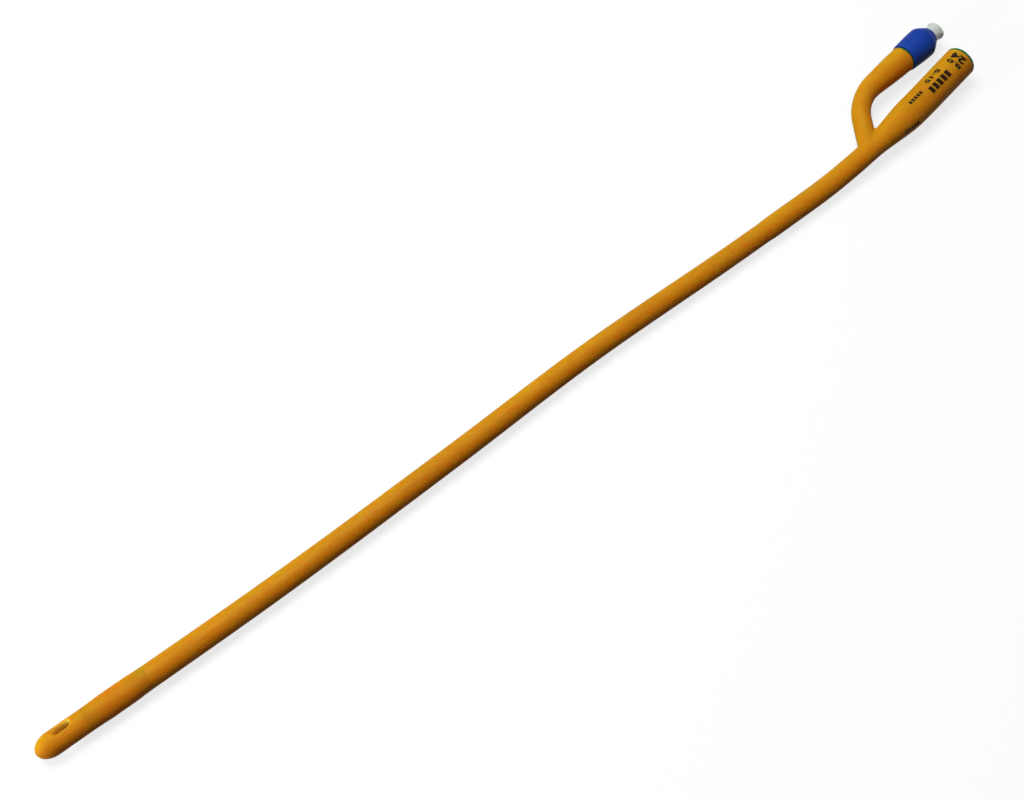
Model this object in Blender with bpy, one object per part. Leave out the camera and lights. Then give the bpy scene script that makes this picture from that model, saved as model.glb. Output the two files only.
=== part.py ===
"""Foley urinary catheter of size 24, two-way, lying on a table.

The latex body is one dipped piece: a rounded tip with two drainage eyes, a long shaft, a drainage
funnel, and an arm that leaves the funnel's root and carries the balloon's inflation valve.
+X runs along the funnel's axis from the tip towards the mouth, the arm is on the +Y side, and +Z
is up. The origin is the bottom centre of the object's box. Sizes are in millimetres; MM turns
them into metres.
"""

import math

import bpy
import numpy as np
from mathutils import Vector

MM = 0.001

# Route of the shaft and the funnel, seen from above
TIP_TO_KNEE = 368.0        # from the tip to where the shaft's and the funnel's lines would cross
KNEE_TO_MOUTH = 56.08      # from there to the funnel's mouth
KNEE_ANGLE = 9.72          # degrees between the shaft's line and the funnel's axis
KNEE_REACH = 34.5          # the bend starts and ends this far from the knee
# The shaft's gentle sway: share of TIP_TO_KNEE, and how far it strays to the left of its line
SHAFT_SWAY = ((0.0, 0.0), (0.24, -1.23), (0.45, -0.12), (0.62, 1.53), (0.80, 0.19), (0.90, 0.0), (1.0, 0.0))
LIFT_START = 86.0          # the shaft leaves the table this far before the mouth ...
LIFT_LENGTH = 42.0         # ... and reaches the funnel's height over this length

# Shaft
SHAFT_DIAMETER = 8.4       # at the tip
SHAFT_END_DIAMETER = 7.8   # it thins evenly to this, where the neck starts
NECK_DIAMETER = 8.2        # the thicker dip that leads to the funnel
NECK_START = 114.0         # where that dip starts, before the mouth
NECK_STEP = 5.0            # length of its soft step
NOSE_LENGTH = 6.0
DRAINAGE_DIAMETER = 4.4
DRAINAGE_END_WALL = 4.4    # solid latex at the tip, before the drainage lumen starts

# Drainage eyes, opposite each other in the tip
EYE_START = 7.8            # from the tip to the eye's near end
EYE_LENGTH = 6.3
EYE_WIDTH = 3.4
EYE_TILT = 58.0            # degrees that the first eye is turned up from the shaft's left side

# Balloon sleeve and its inflation lumen, which runs in the shaft's left wall
BALLOON_START = 19.6
BALLOON_LENGTH = 20.4
BALLOON_WALL = 0.4
BALLOON_EDGE = 1.6         # length of the taper at each end of the sleeve
BALLOON_RECESS = 0.4       # depth of its seat in the shaft
BALLOON_SETTLE = 60.0      # past the balloon the shaft comes down to the table over this length
INFLATION_DIAMETER = 0.8
INFLATION_WALL = 0.3       # latex between the two lumens
INFLATION_EYE_DIAMETER = 1.0

# Funnel
MOUTH_DIAMETER = 12.7
MOUTH_BORE_DIAMETER = 9.5
FLARE_START = 58.0         # where the shaft begins to widen, before the mouth
FLARE_LENGTH = 26.0
FLARE_SHARE = 0.93         # how much of the widening is done at the flare's end
RIM_ROUND = 0.4            # rounded edges of the mouth and of the arm's end

# Inflation arm, from the shaft's axis to the coloured valve sleeve
ARM_ROOT = 58.0            # where the arm's axis leaves the body's axis, before the mouth
ARM_ANGLE = 47.5           # degrees from the funnel's axis
ARM_RISE = 23.9            # from there to where the arm's two straight lines would cross
ARM_BEND_RADIUS = 20.5
ARM_END_ANGLE = -4.1       # heading of the arm's end against the funnel's axis
ARM_RUN = 28.0             # from the crossing to the valve sleeve
ARM_ROOT_DIAMETER = 7.5
ARM_END_DIAMETER = 10.6
ARM_FLARE_START = 19.2     # along the arm, where it begins to widen
ARM_LUMEN_DIAMETER = 2.0

# The arm's end under the valve sleeve; lengths there are measured from the sleeve's near edge
SPIGOT_DIAMETER = 9.2
SPIGOT_LENGTH = 11.4
SOCKET_DEPTH = 8.4         # the bore in the spigot that takes the valve's tail
FIT = 0.3                  # gap between a piece and its seat
SMALL_FIT = 0.2            # gap between the valve's small inner pieces
RUNNING_FIT = 0.25         # gap round the plunger's head and the seal in their chamber

# Coloured valve sleeve
SLEEVE_START_DIAMETER = 11.4
SLEEVE_SHOULDER_DIAMETER = 12.7
SLEEVE_SHOULDER = 11.3     # from its near edge to its widest place
SLEEVE_LENGTH = 15.6
SLEEVE_LIP = 0.2           # width of the flat lip round the valve's hub
SLEEVE_CROWN = 1.15        # above 1 the end beyond the shoulder is domed, at 1 it is a plain cone

# Valve housing
TAIL_WALL = 0.7
BARB_HEIGHT = 0.15
BARB_LENGTH = 2.0
BARB_COUNT = 3
TAIL_LIP = 0.4             # inward lip that holds the retainer
FLANGE_THICKNESS = 1.4
HUB_DIAMETER = 6.8
HUB_END = 20.2             # the valve's outer face
LUG_HEIGHT = 0.35
LUG_LENGTH = 1.1
LUG_HALF_ANGLE = 38.0
LUER_DIAMETER = 4.3        # at the outer face
LUER_TAPER = 0.06          # loss of diameter per length
LUER_DEPTH = 7.0
SEAT_DIAMETER = 3.0        # the hole between the luer socket and the spring's chamber
SEAT_THICKNESS = 0.7

# Valve plunger, its seal, spring and retainer
STEM_DIAMETER = 2.0
STEM_DEPTH = 4.6           # from the valve's outer face to the stem's end
HEAD_THICKNESS = 1.0
GUIDE_DIAMETER = 1.6
SEAL_THICKNESS = 0.6
PLUNGER_TRAVEL = 2.0       # how far a syringe's tip presses the stem in
STOP_GAP = 0.5             # left between the guide and the retainer when it is pressed in
SPRING_WIRE = 0.4
SPRING_TURNS = 5.0
RETAINER_THICKNESS = 1.0
RETAINER_HOLE = 1.8

# Edges, and how far a cutter runs past the face that it opens
EDGE = 0.25                # broken edges of the moulded pieces
FINE_EDGE = 0.1            # broken edges of the valve's small rings
STEP_RUN = 0.02            # length of a sharp step in a turned or swept outline
CUT_PAST = 1.0

# Facets
BODY_SIDES = 28
LUMEN_SIDES = 14
WALL_LUMEN_SIDES = 6
VALVE_SIDES = 32
SMALL_SIDES = 24           # the small pieces inside the valve
SPRING_SIDES = 6
SPRING_STEPS = 14          # steps in one turn
SHAFT_STEP = 11.0          # distance between the shaft's rings
FUNNEL_STEP = 3.6
SLEEVE_STEP = 2.9
ARM_STEP = 3.0

# Colours as they look in the photograph, in Blender's linear values: colour, roughness, metallic
FINISHES = {
    "amber_latex": ((0.62, 0.25, 0.015), 0.38, 0.0),
    "balloon_latex": ((0.55, 0.20, 0.012), 0.34, 0.0),
    "blue_rubber": ((0.022, 0.060, 0.36), 0.50, 0.0),
    "clear_white_plastic": ((0.56, 0.60, 0.57), 0.35, 0.0),
    "white_acetal": ((0.78, 0.78, 0.75), 0.35, 0.0),
    "black_seal_rubber": ((0.02, 0.02, 0.02), 0.60, 0.0),
    "spring_steel": ((0.55, 0.55, 0.56), 0.28, 1.0),
}


def clear_scene():
    """Removes every object, so that the model starts from an empty scene."""
    for thing in list(bpy.data.objects):
        bpy.data.objects.remove(thing, do_unlink=True)


def ease(share):
    """Rises smoothly from 0 to 1 as the share does, and stays level outside."""
    share = min(max(share, 0.0), 1.0)
    return share * share * (3.0 - 2.0 * share)


def heading(degrees):
    """The level unit vector that makes this angle with +X."""
    angle = math.radians(degrees)
    return Vector((math.cos(angle), math.sin(angle), 0.0))


def spaced(start, end, step):
    """Distances from start to end, evenly spaced and at most a step apart."""
    count = max(1, math.ceil((end - start) / step))
    return [start + (end - start) * i / count for i in range(count + 1)]


def sway_at(share):
    """How far the shaft strays to the left at a share of its length: a smooth cubic through the knots."""
    knots = SHAFT_SWAY
    last = len(knots) - 1
    slopes = [(knots[min(i + 1, last)][1] - knots[max(i - 1, 0)][1])
              / (knots[min(i + 1, last)][0] - knots[max(i - 1, 0)][0]) for i in range(last + 1)]
    i = max(k for k in range(last) if knots[k][0] <= share or k == 0)
    width = knots[i + 1][0] - knots[i][0]
    t = (share - knots[i][0]) / width
    return ((1 + 2 * t) * (1 - t) ** 2 * knots[i][1] + t * (1 - t) ** 2 * width * slopes[i]
            + t * t * (3 - 2 * t) * knots[i + 1][1] + t * t * (t - 1) * width * slopes[i + 1])


def arc_between(distance, corner, back, ahead, reach):
    """A point on a corner that is rounded by an arc, at a distance from the arc's start.

    back and ahead are the unit directions before and after the corner, and reach is the length
    of each line that the arc replaces. Returns the point and the distance left past the arc.
    """
    turn = back.angle(ahead)
    radius = reach / math.tan(turn / 2)
    length = radius * turn
    side = (ahead - back * back.dot(ahead)).normalized()
    swept = min(distance, length) / radius
    start = corner - back * reach
    point = start + back * (radius * math.sin(swept)) + side * (radius * (1 - math.cos(swept)))
    return point, max(distance - length, 0.0)


def arc_length(turn_degrees, reach):
    """Length of the arc that rounds a corner of this turn, with this reach on each side."""
    turn = math.radians(turn_degrees)
    return reach / math.tan(turn / 2) * turn


SHAFT_HEADING = heading(-KNEE_ANGLE)
SHAFT_LEFT = heading(90.0 - KNEE_ANGLE)
KNEE = Vector((-KNEE_TO_MOUTH, 0.0, 0.0))
BODY_LENGTH = TIP_TO_KNEE - KNEE_REACH + arc_length(KNEE_ANGLE, KNEE_REACH) + KNEE_TO_MOUTH - KNEE_REACH


def shaft_radius(distance):
    """Radius of the plain shaft at a distance from the tip."""
    thinning = min(distance / (BODY_LENGTH - NECK_START), 1.0)
    return (SHAFT_DIAMETER + (SHAFT_END_DIAMETER - SHAFT_DIAMETER) * thinning) / 2


def body_axis(distance):
    """Point of the shaft's and funnel's axis at a distance from the tip. The mouth's x and y are 0."""
    straight = TIP_TO_KNEE - KNEE_REACH
    if distance <= straight:
        tip = KNEE - SHAFT_HEADING * TIP_TO_KNEE
        point = tip + SHAFT_HEADING * distance + SHAFT_LEFT * sway_at(distance / TIP_TO_KNEE)
    else:
        ahead = heading(0.0)
        point, left = arc_between(distance - straight, KNEE, SHAFT_HEADING, ahead, KNEE_REACH)
        point = point + ahead * left
    lift = ease((distance - (BODY_LENGTH - LIFT_START)) / LIFT_LENGTH)
    proud = SMALL_FIT + BALLOON_WALL - BALLOON_RECESS
    settled = ease((distance - BALLOON_START - BALLOON_LENGTH) / BALLOON_SETTLE)
    low = shaft_radius(distance) + proud * (1 - settled)
    point.z = low + (MOUTH_DIAMETER / 2 - low) * lift
    return point


def flare_at(distance):
    """Share of the funnel's widening at a distance from the tip: 0 on the shaft, 1 at the mouth."""
    from_mouth = BODY_LENGTH - distance
    flare_end = FLARE_START - FLARE_LENGTH
    if from_mouth > flare_end:
        return FLARE_SHARE * ease((FLARE_START - from_mouth) / FLARE_LENGTH)
    return FLARE_SHARE + (1 - FLARE_SHARE) * (flare_end - from_mouth) / flare_end


def body_radius(distance):
    """Outer radius of the shaft and funnel, without the balloon's seat."""
    radius = shaft_radius(distance)
    neck = ease((distance - (BODY_LENGTH - NECK_START)) / NECK_STEP)
    radius += (NECK_DIAMETER / 2 - radius) * neck
    radius += (MOUTH_DIAMETER - NECK_DIAMETER) / 2 * flare_at(distance)
    if distance < NOSE_LENGTH:
        radius *= math.sqrt(max(0.0, 1.0 - (1.0 - distance / NOSE_LENGTH) ** 2))
    return radius


def bore_radius(distance):
    """Radius of the drainage lumen and the funnel's bore."""
    return (DRAINAGE_DIAMETER + (MOUTH_BORE_DIAMETER - DRAINAGE_DIAMETER) * flare_at(distance)) / 2


ARM_START = body_axis(BODY_LENGTH - ARM_ROOT)
ARM_CORNER = ARM_START + heading(ARM_ANGLE) * ARM_RISE
ARM_REACH = ARM_BEND_RADIUS * math.tan(math.radians(ARM_ANGLE - ARM_END_ANGLE) / 2)
ARM_LENGTH = ARM_RISE + ARM_RUN - 2 * ARM_REACH + arc_length(ARM_ANGLE - ARM_END_ANGLE, ARM_REACH)


def arm_axis(distance):
    """Point of the arm's axis at a distance from the body's axis."""
    straight = ARM_RISE - ARM_REACH
    ahead = heading(ARM_END_ANGLE)
    if distance <= straight:
        point = ARM_START + heading(ARM_ANGLE) * distance
    else:
        point, left = arc_between(distance - straight, ARM_CORNER, heading(ARM_ANGLE), ahead, ARM_REACH)
        point = point + ahead * left
    rise = ease(distance / (ARM_LENGTH - SPIGOT_LENGTH))
    point.z = ARM_START.z + (SLEEVE_SHOULDER_DIAMETER / 2 - ARM_START.z) * rise
    return point


def arm_radius(distance):
    """Outer radius of the arm, up to the valve sleeve."""
    share = ease((distance - ARM_FLARE_START) / (ARM_LENGTH - ARM_FLARE_START))
    return (ARM_ROOT_DIAMETER + (ARM_END_DIAMETER - ARM_ROOT_DIAMETER) * share) / 2


def path_frame(axis, distance):
    """Point, level side vector and upright vector of an axis, for a ring that stands across it."""
    point = axis(distance)
    along = (axis(distance + STEP_RUN) - axis(distance - STEP_RUN)).normalized()
    side = Vector((-along.y, along.x, 0.0)).normalized()
    return point, side, along.cross(side)


def ring(axis, distance, radius, sides):
    """Points of one ring round an axis, with a flat facet at its bottom."""
    point, side, upright = path_frame(axis, distance)
    turns = [2 * math.pi * (k + 0.5) / sides - math.pi / 2 for k in range(sides)]
    return [point + side * (radius * math.cos(a)) + upright * (radius * math.sin(a)) for a in turns]


def add_mesh(name, points, faces, origin=Vector((0, 0, 0)), turn=0.0):
    """Puts points in millimetres and faces into a new object at a place and heading."""
    mesh = bpy.data.meshes.new(name)
    mesh.from_pydata([tuple(p * MM) for p in points], [], faces)
    mesh.validate()
    mesh.update()
    thing = bpy.data.objects.new(name, mesh)
    bpy.context.scene.collection.objects.link(thing)
    thing.location = origin * MM
    thing.rotation_euler = (0.0, 0.0, math.radians(turn))
    return thing


def skin_rings(rings, closed_loop=False):
    """Faces between rings of equal size; a run that isn't a loop gets a flat cap at each end."""
    sides = len(rings[0])
    count = len(rings)
    faces = []
    for i in range(count if closed_loop else count - 1):
        here, there = i * sides, ((i + 1) % count) * sides
        for k in range(sides):
            n = (k + 1) % sides
            faces.append((here + k, there + k, there + n, here + n))
    if not closed_loop:
        faces.append(tuple(range(sides)))
        faces.append(tuple(reversed(range((count - 1) * sides, count * sides))))
    return faces


def swept_solid(name, axis, stations, sides):
    """A closed solid of rings along an axis; stations are pairs of distance and radius."""
    rings = [ring(axis, distance, radius, sides) for distance, radius in stations]
    points = [p for one in rings for p in one]
    return add_mesh(name, points, skin_rings(rings))


def turned_solid(name, outline, origin, sides, bulge=None, hollow=True):
    """Turns an outline of (length, radius) pairs about the local X axis.

    A hollow outline is a closed loop round a through bore; a solid one starts and ends at the
    axis' flat end faces. bulge adds height to a point from its length and angle.
    """
    rings = []
    for length, radius in outline:
        one = []
        for k in range(sides):
            angle = 2 * math.pi * (k + 0.5) / sides
            out = radius + (bulge(length, radius, angle) if bulge else 0.0)
            one.append(Vector((length, out * math.cos(angle), out * math.sin(angle))))
        rings.append(one)
    points = [p for one in rings for p in one]
    return add_mesh(name, points, skin_rings(rings, closed_loop=hollow), origin, ARM_END_ANGLE)


def as_cutter(thing):
    """Marks an object as a guide that is not part of the model."""
    thing.hide_render = True
    thing.display_type = "WIRE"
    return thing


def combine(thing, other, operation):
    """Adds a Boolean with another object to an object."""
    modifier = thing.modifiers.new(other.name, "BOOLEAN")
    modifier.operation = operation
    modifier.solver = "EXACT"
    modifier.object = other


def body_stations():
    """Distances and radii of the body's rings, with the balloon's seat and the rounded ends."""
    seat_start = BALLOON_START
    seat_end = BALLOON_START + BALLOON_LENGTH
    seat = SHAFT_DIAMETER / 2 - BALLOON_RECESS
    nose = [NOSE_LENGTH * (1 - math.cos(math.radians(a))) for a in (8, 20, 33, 47, 62, 76)]
    stations = [(d, body_radius(d)) for d in nose]
    stations += [(d, body_radius(d)) for d in spaced(NOSE_LENGTH, seat_start, SHAFT_STEP)]
    stations += [(seat_start + STEP_RUN, seat), (seat_end - STEP_RUN, seat)]
    neck = BODY_LENGTH - NECK_START
    flare = BODY_LENGTH - FLARE_START
    stations += [(d, body_radius(d)) for d in spaced(seat_end, neck, SHAFT_STEP)]
    stations += [(d, body_radius(d)) for d in spaced(neck, neck + NECK_STEP, NECK_STEP / 2)[1:]]
    stations += [(d, body_radius(d)) for d in spaced(neck + NECK_STEP, flare, SHAFT_STEP)[1:]]
    rim = BODY_LENGTH - RIM_ROUND
    stations += [(d, body_radius(d)) for d in spaced(flare, rim, FUNNEL_STEP)[1:]]
    stations.append((BODY_LENGTH, body_radius(BODY_LENGTH) - RIM_ROUND))
    return stations


def drainage_stations():
    """Distances and radii of the drainage lumen, with a domed end and a rounded mouth."""
    start = DRAINAGE_END_WALL
    radius = DRAINAGE_DIAMETER / 2
    dome = [(start + radius * (1 - math.cos(math.radians(a))), radius * math.sin(math.radians(a)))
            for a in (25, 45, 65)]
    flare = BODY_LENGTH - FLARE_START
    neck = BODY_LENGTH - NECK_START
    stations = dome + [(d, bore_radius(d)) for d in spaced(start + radius, neck, SHAFT_STEP)]
    stations += [(d, bore_radius(d)) for d in spaced(neck, flare, SHAFT_STEP)[1:]]
    rim = BODY_LENGTH - RIM_ROUND
    stations += [(d, bore_radius(d)) for d in spaced(flare, rim, FUNNEL_STEP)[1:]]
    past = bore_radius(BODY_LENGTH) + RIM_ROUND
    stations += [(BODY_LENGTH, past), (BODY_LENGTH + CUT_PAST, past)]
    return stations


def inflation_offset(distance):
    """Distance of the inflation lumen's middle from the shaft's axis, beside the drainage lumen."""
    return bore_radius(distance) + INFLATION_WALL + INFLATION_DIAMETER / 2


def inflation_route():
    """Points and radii of the inflation lumen, from under the balloon to the arm's socket."""
    shaft_end = BODY_LENGTH - ARM_ROOT
    eye = BALLOON_START + BALLOON_LENGTH / 2
    small, large = INFLATION_DIAMETER / 2, ARM_LUMEN_DIAMETER / 2
    route = []
    for distance in spaced(eye, shaft_end, SHAFT_STEP):
        point, side, _ = path_frame(body_axis, distance)
        route.append((point + side * inflation_offset(distance), small))
    root = ARM_ROOT_DIAMETER * 1.25
    socket_floor = ARM_LENGTH + SPIGOT_LENGTH - SOCKET_DEPTH
    for distance in spaced(root, socket_floor + CUT_PAST, ARM_STEP):
        share = ease((distance - root) / (ARM_LENGTH - root))
        route.append((arm_axis(distance), small + (large - small) * share))
    return route


def swept_route(name, route, sides):
    """A closed solid of rings along a list of points and radii."""
    rings = []
    last = len(route) - 1
    for i, (point, radius) in enumerate(route):
        along = (route[min(i + 1, last)][0] - route[max(i - 1, 0)][0]).normalized()
        side = Vector((-along.y, along.x, 0.0)).normalized()
        upright = along.cross(side)
        turns = [2 * math.pi * k / sides for k in range(sides)]
        rings.append([point + side * (radius * math.cos(a)) + upright * (radius * math.sin(a))
                      for a in turns])
    points = [p for one in rings for p in one]
    return add_mesh(name, points, skin_rings(rings))


def eye_cutter():
    """A stadium-shaped bar that cuts both drainage eyes through the tip."""
    point, side, upright = path_frame(body_axis, EYE_START + EYE_LENGTH / 2)
    tilt = math.radians(EYE_TILT)
    across = side * math.cos(tilt) + upright * math.sin(tilt)
    rise = upright * math.cos(tilt) - side * math.sin(tilt)
    along = across.cross(rise)
    half = EYE_WIDTH / 2
    straight = EYE_LENGTH / 2 - half
    outline = []
    steps = 8
    for end, first in ((1, -90.0), (-1, 90.0)):
        for i in range(steps + 1):
            angle = math.radians(first + 180.0 * i / steps)
            outline.append((end * straight + half * math.cos(angle), half * math.sin(angle)))
    rings = [[point + along * x + rise * z + across * reach for x, z in outline]
             for reach in (-SHAFT_DIAMETER, SHAFT_DIAMETER)]
    points = [p for one in rings for p in one]
    return as_cutter(add_mesh("eye_cutter", points, skin_rings(rings)))


def inflation_eye_cutter():
    """A short round bar that opens the inflation lumen under the balloon."""
    distance = BALLOON_START + BALLOON_LENGTH / 2 + INFLATION_EYE_DIAMETER
    point, side, _ = path_frame(body_axis, distance)
    route = [(point + side * inflation_offset(distance), INFLATION_EYE_DIAMETER / 2),
             (point + side * SHAFT_DIAMETER, INFLATION_EYE_DIAMETER / 2)]
    return as_cutter(swept_route("inflation_eye_cutter", route, WALL_LUMEN_SIDES))


def make_catheter_body():
    """The dipped latex piece: shaft, funnel and arm, with both lumens, the eyes and the valve's socket."""
    body = swept_solid("catheter_body", body_axis, body_stations(), BODY_SIDES)
    bend_end = ARM_RISE - ARM_REACH + arc_length(ARM_ANGLE - ARM_END_ANGLE, ARM_REACH)
    arm = [(d, arm_radius(d)) for d in spaced(0.0, bend_end, ARM_STEP)]
    arm += [(d, arm_radius(d)) for d in spaced(bend_end, ARM_LENGTH - RIM_ROUND, 2 * ARM_STEP)[1:]]
    spigot = SPIGOT_DIAMETER / 2
    arm += [(ARM_LENGTH, arm_radius(ARM_LENGTH) - RIM_ROUND), (ARM_LENGTH + STEP_RUN, spigot),
            (ARM_LENGTH + SPIGOT_LENGTH, spigot)]
    combine(body, as_cutter(swept_solid("arm_blank", arm_axis, arm, BODY_SIDES)), "UNION")
    combine(body, as_cutter(swept_solid("drainage_cutter", body_axis, drainage_stations(), LUMEN_SIDES)),
            "DIFFERENCE")
    combine(body, as_cutter(swept_route("inflation_cutter", inflation_route(), WALL_LUMEN_SIDES)),
            "DIFFERENCE")
    socket = tail_radius() + BARB_HEIGHT + FIT
    floor = SPIGOT_LENGTH - SOCKET_DEPTH
    cutter = turned_solid("socket_cutter", ((floor, socket), (SPIGOT_LENGTH + CUT_PAST, socket)),
                          arm_axis(ARM_LENGTH), LUMEN_SIDES, hollow=False)
    combine(body, as_cutter(cutter), "DIFFERENCE")
    combine(body, eye_cutter(), "DIFFERENCE")
    combine(body, inflation_eye_cutter(), "DIFFERENCE")
    return body


def make_balloon_sleeve():
    """The thin latex sleeve that lies in its seat on the shaft and swells when it is filled."""
    inner = SHAFT_DIAMETER / 2 - BALLOON_RECESS + SMALL_FIT
    outer = inner + BALLOON_WALL
    edge = inner + BALLOON_WALL / 2
    start = BALLOON_START + SMALL_FIT
    end = BALLOON_START + BALLOON_LENGTH - SMALL_FIT
    middle = spaced(start + BALLOON_EDGE, end - BALLOON_EDGE, SHAFT_STEP / 2)
    loop = [(start, edge)] + [(d, outer) for d in middle] + [(end, edge)]
    loop += [(d, inner) for d in [end] + middle[::-1] + [start]]
    rings = [ring(body_axis, distance, radius, BODY_SIDES) for distance, radius in loop]
    points = [p for one in rings for p in one]
    return add_mesh("balloon_sleeve", points, skin_rings(rings, closed_loop=True))


def chamber_radius():
    """Radius of the spring's chamber: the luer socket's floor plus a step for the valve's seat."""
    return (LUER_DIAMETER - LUER_TAPER * LUER_DEPTH) / 2 + FIT


def tail_radius():
    """Outer radius of the valve's tail, without its barbs."""
    return chamber_radius() + TAIL_WALL


def tail_end():
    """Length at which the valve's tail ends, just off the socket's floor."""
    return SPIGOT_LENGTH - SOCKET_DEPTH + FIT


def seat_face():
    """Length of the chamber's end wall, on which the seal closes."""
    return HUB_END - LUER_DEPTH - SEAT_THICKNESS


def make_valve_sleeve(origin):
    """The coloured rubber sleeve over the arm's end and the valve's hub."""
    inner = SPIGOT_DIAMETER / 2 + FIT
    lip_inner = HUB_DIAMETER / 2 + FIT
    lip_outer = lip_inner + SLEEVE_LIP
    flange_end = SPIGOT_LENGTH + SMALL_FIT + FLANGE_THICKNESS + SMALL_FIT
    start = SMALL_FIT
    first, wide = SLEEVE_START_DIAMETER / 2, SLEEVE_SHOULDER_DIAMETER / 2
    outline = [(start, first - EDGE)]
    outline += [(d, first + (wide - first) * math.sin(math.pi / 2 * d / SLEEVE_SHOULDER))
                for d in spaced(start + EDGE, SLEEVE_SHOULDER, SLEEVE_STEP)]
    cone = SLEEVE_LENGTH - SLEEVE_SHOULDER
    outline += [(d, wide + (lip_outer - wide) * ((d - SLEEVE_SHOULDER) / cone) ** SLEEVE_CROWN)
                for d in spaced(SLEEVE_SHOULDER, SLEEVE_LENGTH, SLEEVE_STEP / 2)[1:]]
    outline += [(SLEEVE_LENGTH, lip_inner), (flange_end, lip_inner), (flange_end, inner), (start, inner)]
    return turned_solid("valve_sleeve", outline, origin, VALVE_SIDES)


def lug_bulge(length, radius, angle):
    """Height of the two lugs on the hub's outer end, on its left and right sides."""
    away = abs(math.degrees(math.asin(math.sin(angle))))
    on_end = HUB_END - LUG_LENGTH <= length <= HUB_END and radius >= HUB_DIAMETER / 2 - EDGE
    return LUG_HEIGHT if on_end and away < LUG_HALF_ANGLE else 0.0


def make_valve_housing(origin):
    """The clear white housing: barbed tail, flange, and a hub with the luer socket."""
    tail, chamber = tail_radius(), chamber_radius()
    start = tail_end()
    outline = [(start, tail - EDGE), (start + EDGE, tail)]
    for i in range(BARB_COUNT):
        barb = start + (i + 0.5) * BARB_LENGTH
        outline += [(barb, tail + BARB_HEIGHT), (barb + STEP_RUN, tail), (barb + BARB_LENGTH / 4, tail)]
    flange = SPIGOT_LENGTH + SMALL_FIT
    flange_radius = SPIGOT_DIAMETER / 2
    outline += [(flange, tail), (flange, flange_radius), (flange + FLANGE_THICKNESS, flange_radius)]
    hub = HUB_DIAMETER / 2
    outline += [(flange + FLANGE_THICKNESS, hub), (HUB_END - LUG_LENGTH - LUG_HEIGHT, hub),
                (HUB_END - LUG_LENGTH, hub), (HUB_END - EDGE, hub), (HUB_END, hub - EDGE)]
    mouth = LUER_DIAMETER / 2
    floor = HUB_END - LUER_DEPTH
    luer_floor = mouth - LUER_TAPER * LUER_DEPTH / 2
    outline += [(HUB_END, mouth + FINE_EDGE), (HUB_END - FINE_EDGE, mouth), (floor, luer_floor)]
    outline += [(floor, SEAT_DIAMETER / 2), (seat_face(), SEAT_DIAMETER / 2), (seat_face(), chamber)]
    lip = start + TAIL_LIP
    outline += [(lip, chamber), (lip, chamber - TAIL_LIP), (start, chamber - TAIL_LIP)]
    return turned_solid("valve_housing", outline, origin, VALVE_SIDES, bulge=lug_bulge)


def head_face():
    """Length of the plunger head's outer face, behind the seal and its two gaps."""
    return seat_face() - SEAL_THICKNESS - 2 * SMALL_FIT


def make_valve_plunger(origin):
    """The plunger: a stem in the luer socket, a head in the chamber and a guide inside the spring."""
    head = chamber_radius() - RUNNING_FIT
    face = head_face()
    back = face - HEAD_THICKNESS
    tip = retainer_face() + STOP_GAP + PLUNGER_TRAVEL
    stem, guide = STEM_DIAMETER / 2, GUIDE_DIAMETER / 2
    end = HUB_END - STEM_DEPTH
    outline = [(tip, guide - EDGE), (tip + EDGE, guide), (back, guide), (back, head - FINE_EDGE),
               (back + FINE_EDGE, head), (face, head), (face, stem), (end - EDGE, stem), (end, stem - EDGE)]
    return turned_solid("valve_plunger", outline, origin, SMALL_SIDES, hollow=False)


def make_valve_seal(origin):
    """The rubber washer on the plunger's stem that closes on the seat."""
    inner = STEM_DIAMETER / 2 + SMALL_FIT
    outer = chamber_radius() - RUNNING_FIT
    start = head_face() + SMALL_FIT
    end = start + SEAL_THICKNESS
    outline = [(start, inner), (start, outer - FINE_EDGE), (start + FINE_EDGE, outer),
               (end - FINE_EDGE, outer), (end, outer - FINE_EDGE), (end, inner)]
    return turned_solid("valve_seal", outline, origin, SMALL_SIDES)


def retainer_face():
    """Length of the retainer's outer face, on which the spring stands."""
    return tail_end() + TAIL_LIP + SMALL_FIT + RETAINER_THICKNESS


def make_valve_spring(origin):
    """The steel coil spring between the retainer and the plunger's head."""
    wire = SPRING_WIRE / 2
    low = retainer_face() + SMALL_FIT + wire
    high = head_face() - HEAD_THICKNESS - SMALL_FIT - wire
    radius = chamber_radius() - SMALL_FIT - wire
    count = round(SPRING_TURNS * SPRING_STEPS)
    rings = []
    for i in range(count + 1):
        share = i / count
        turn = 2 * math.pi * SPRING_TURNS * share
        out = Vector((0.0, math.cos(turn), math.sin(turn)))
        centre = Vector((low + (high - low) * share, 0.0, 0.0)) + out * radius
        one = []
        for k in range(SPRING_SIDES):
            angle = 2 * math.pi * k / SPRING_SIDES
            one.append(centre + out * (wire * math.cos(angle)) + Vector((wire * math.sin(angle), 0.0, 0.0)))
        rings.append(one)
    points = [p for one in rings for p in one]
    return add_mesh("valve_spring", points, skin_rings(rings), origin, ARM_END_ANGLE)


def make_valve_retainer(origin):
    """The ring that closes the chamber behind the spring."""
    outer = chamber_radius() - SMALL_FIT
    start = tail_end() + TAIL_LIP + SMALL_FIT
    end = retainer_face()
    inner = RETAINER_HOLE / 2
    outline = [(start, inner), (start, outer), (end - FINE_EDGE, outer), (end, outer - FINE_EDGE),
               (end, inner)]
    return turned_solid("valve_retainer", outline, origin, SMALL_SIDES)


def finish(thing, finish_name):
    """Gives a piece its own Principled material and shades its round faces smooth."""
    colour, roughness, metallic = FINISHES[finish_name]
    material = bpy.data.materials.new(finish_name)
    material.use_nodes = True
    shader = material.node_tree.nodes["Principled BSDF"]
    shader.inputs["Base Color"].default_value = (*colour, 1.0)
    shader.inputs["Roughness"].default_value = roughness
    shader.inputs["Metallic"].default_value = metallic
    thing.data.materials.append(material)
    thing.data.shade_smooth()
    thing.data.set_sharp_from_angle(angle=math.radians(40))


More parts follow.
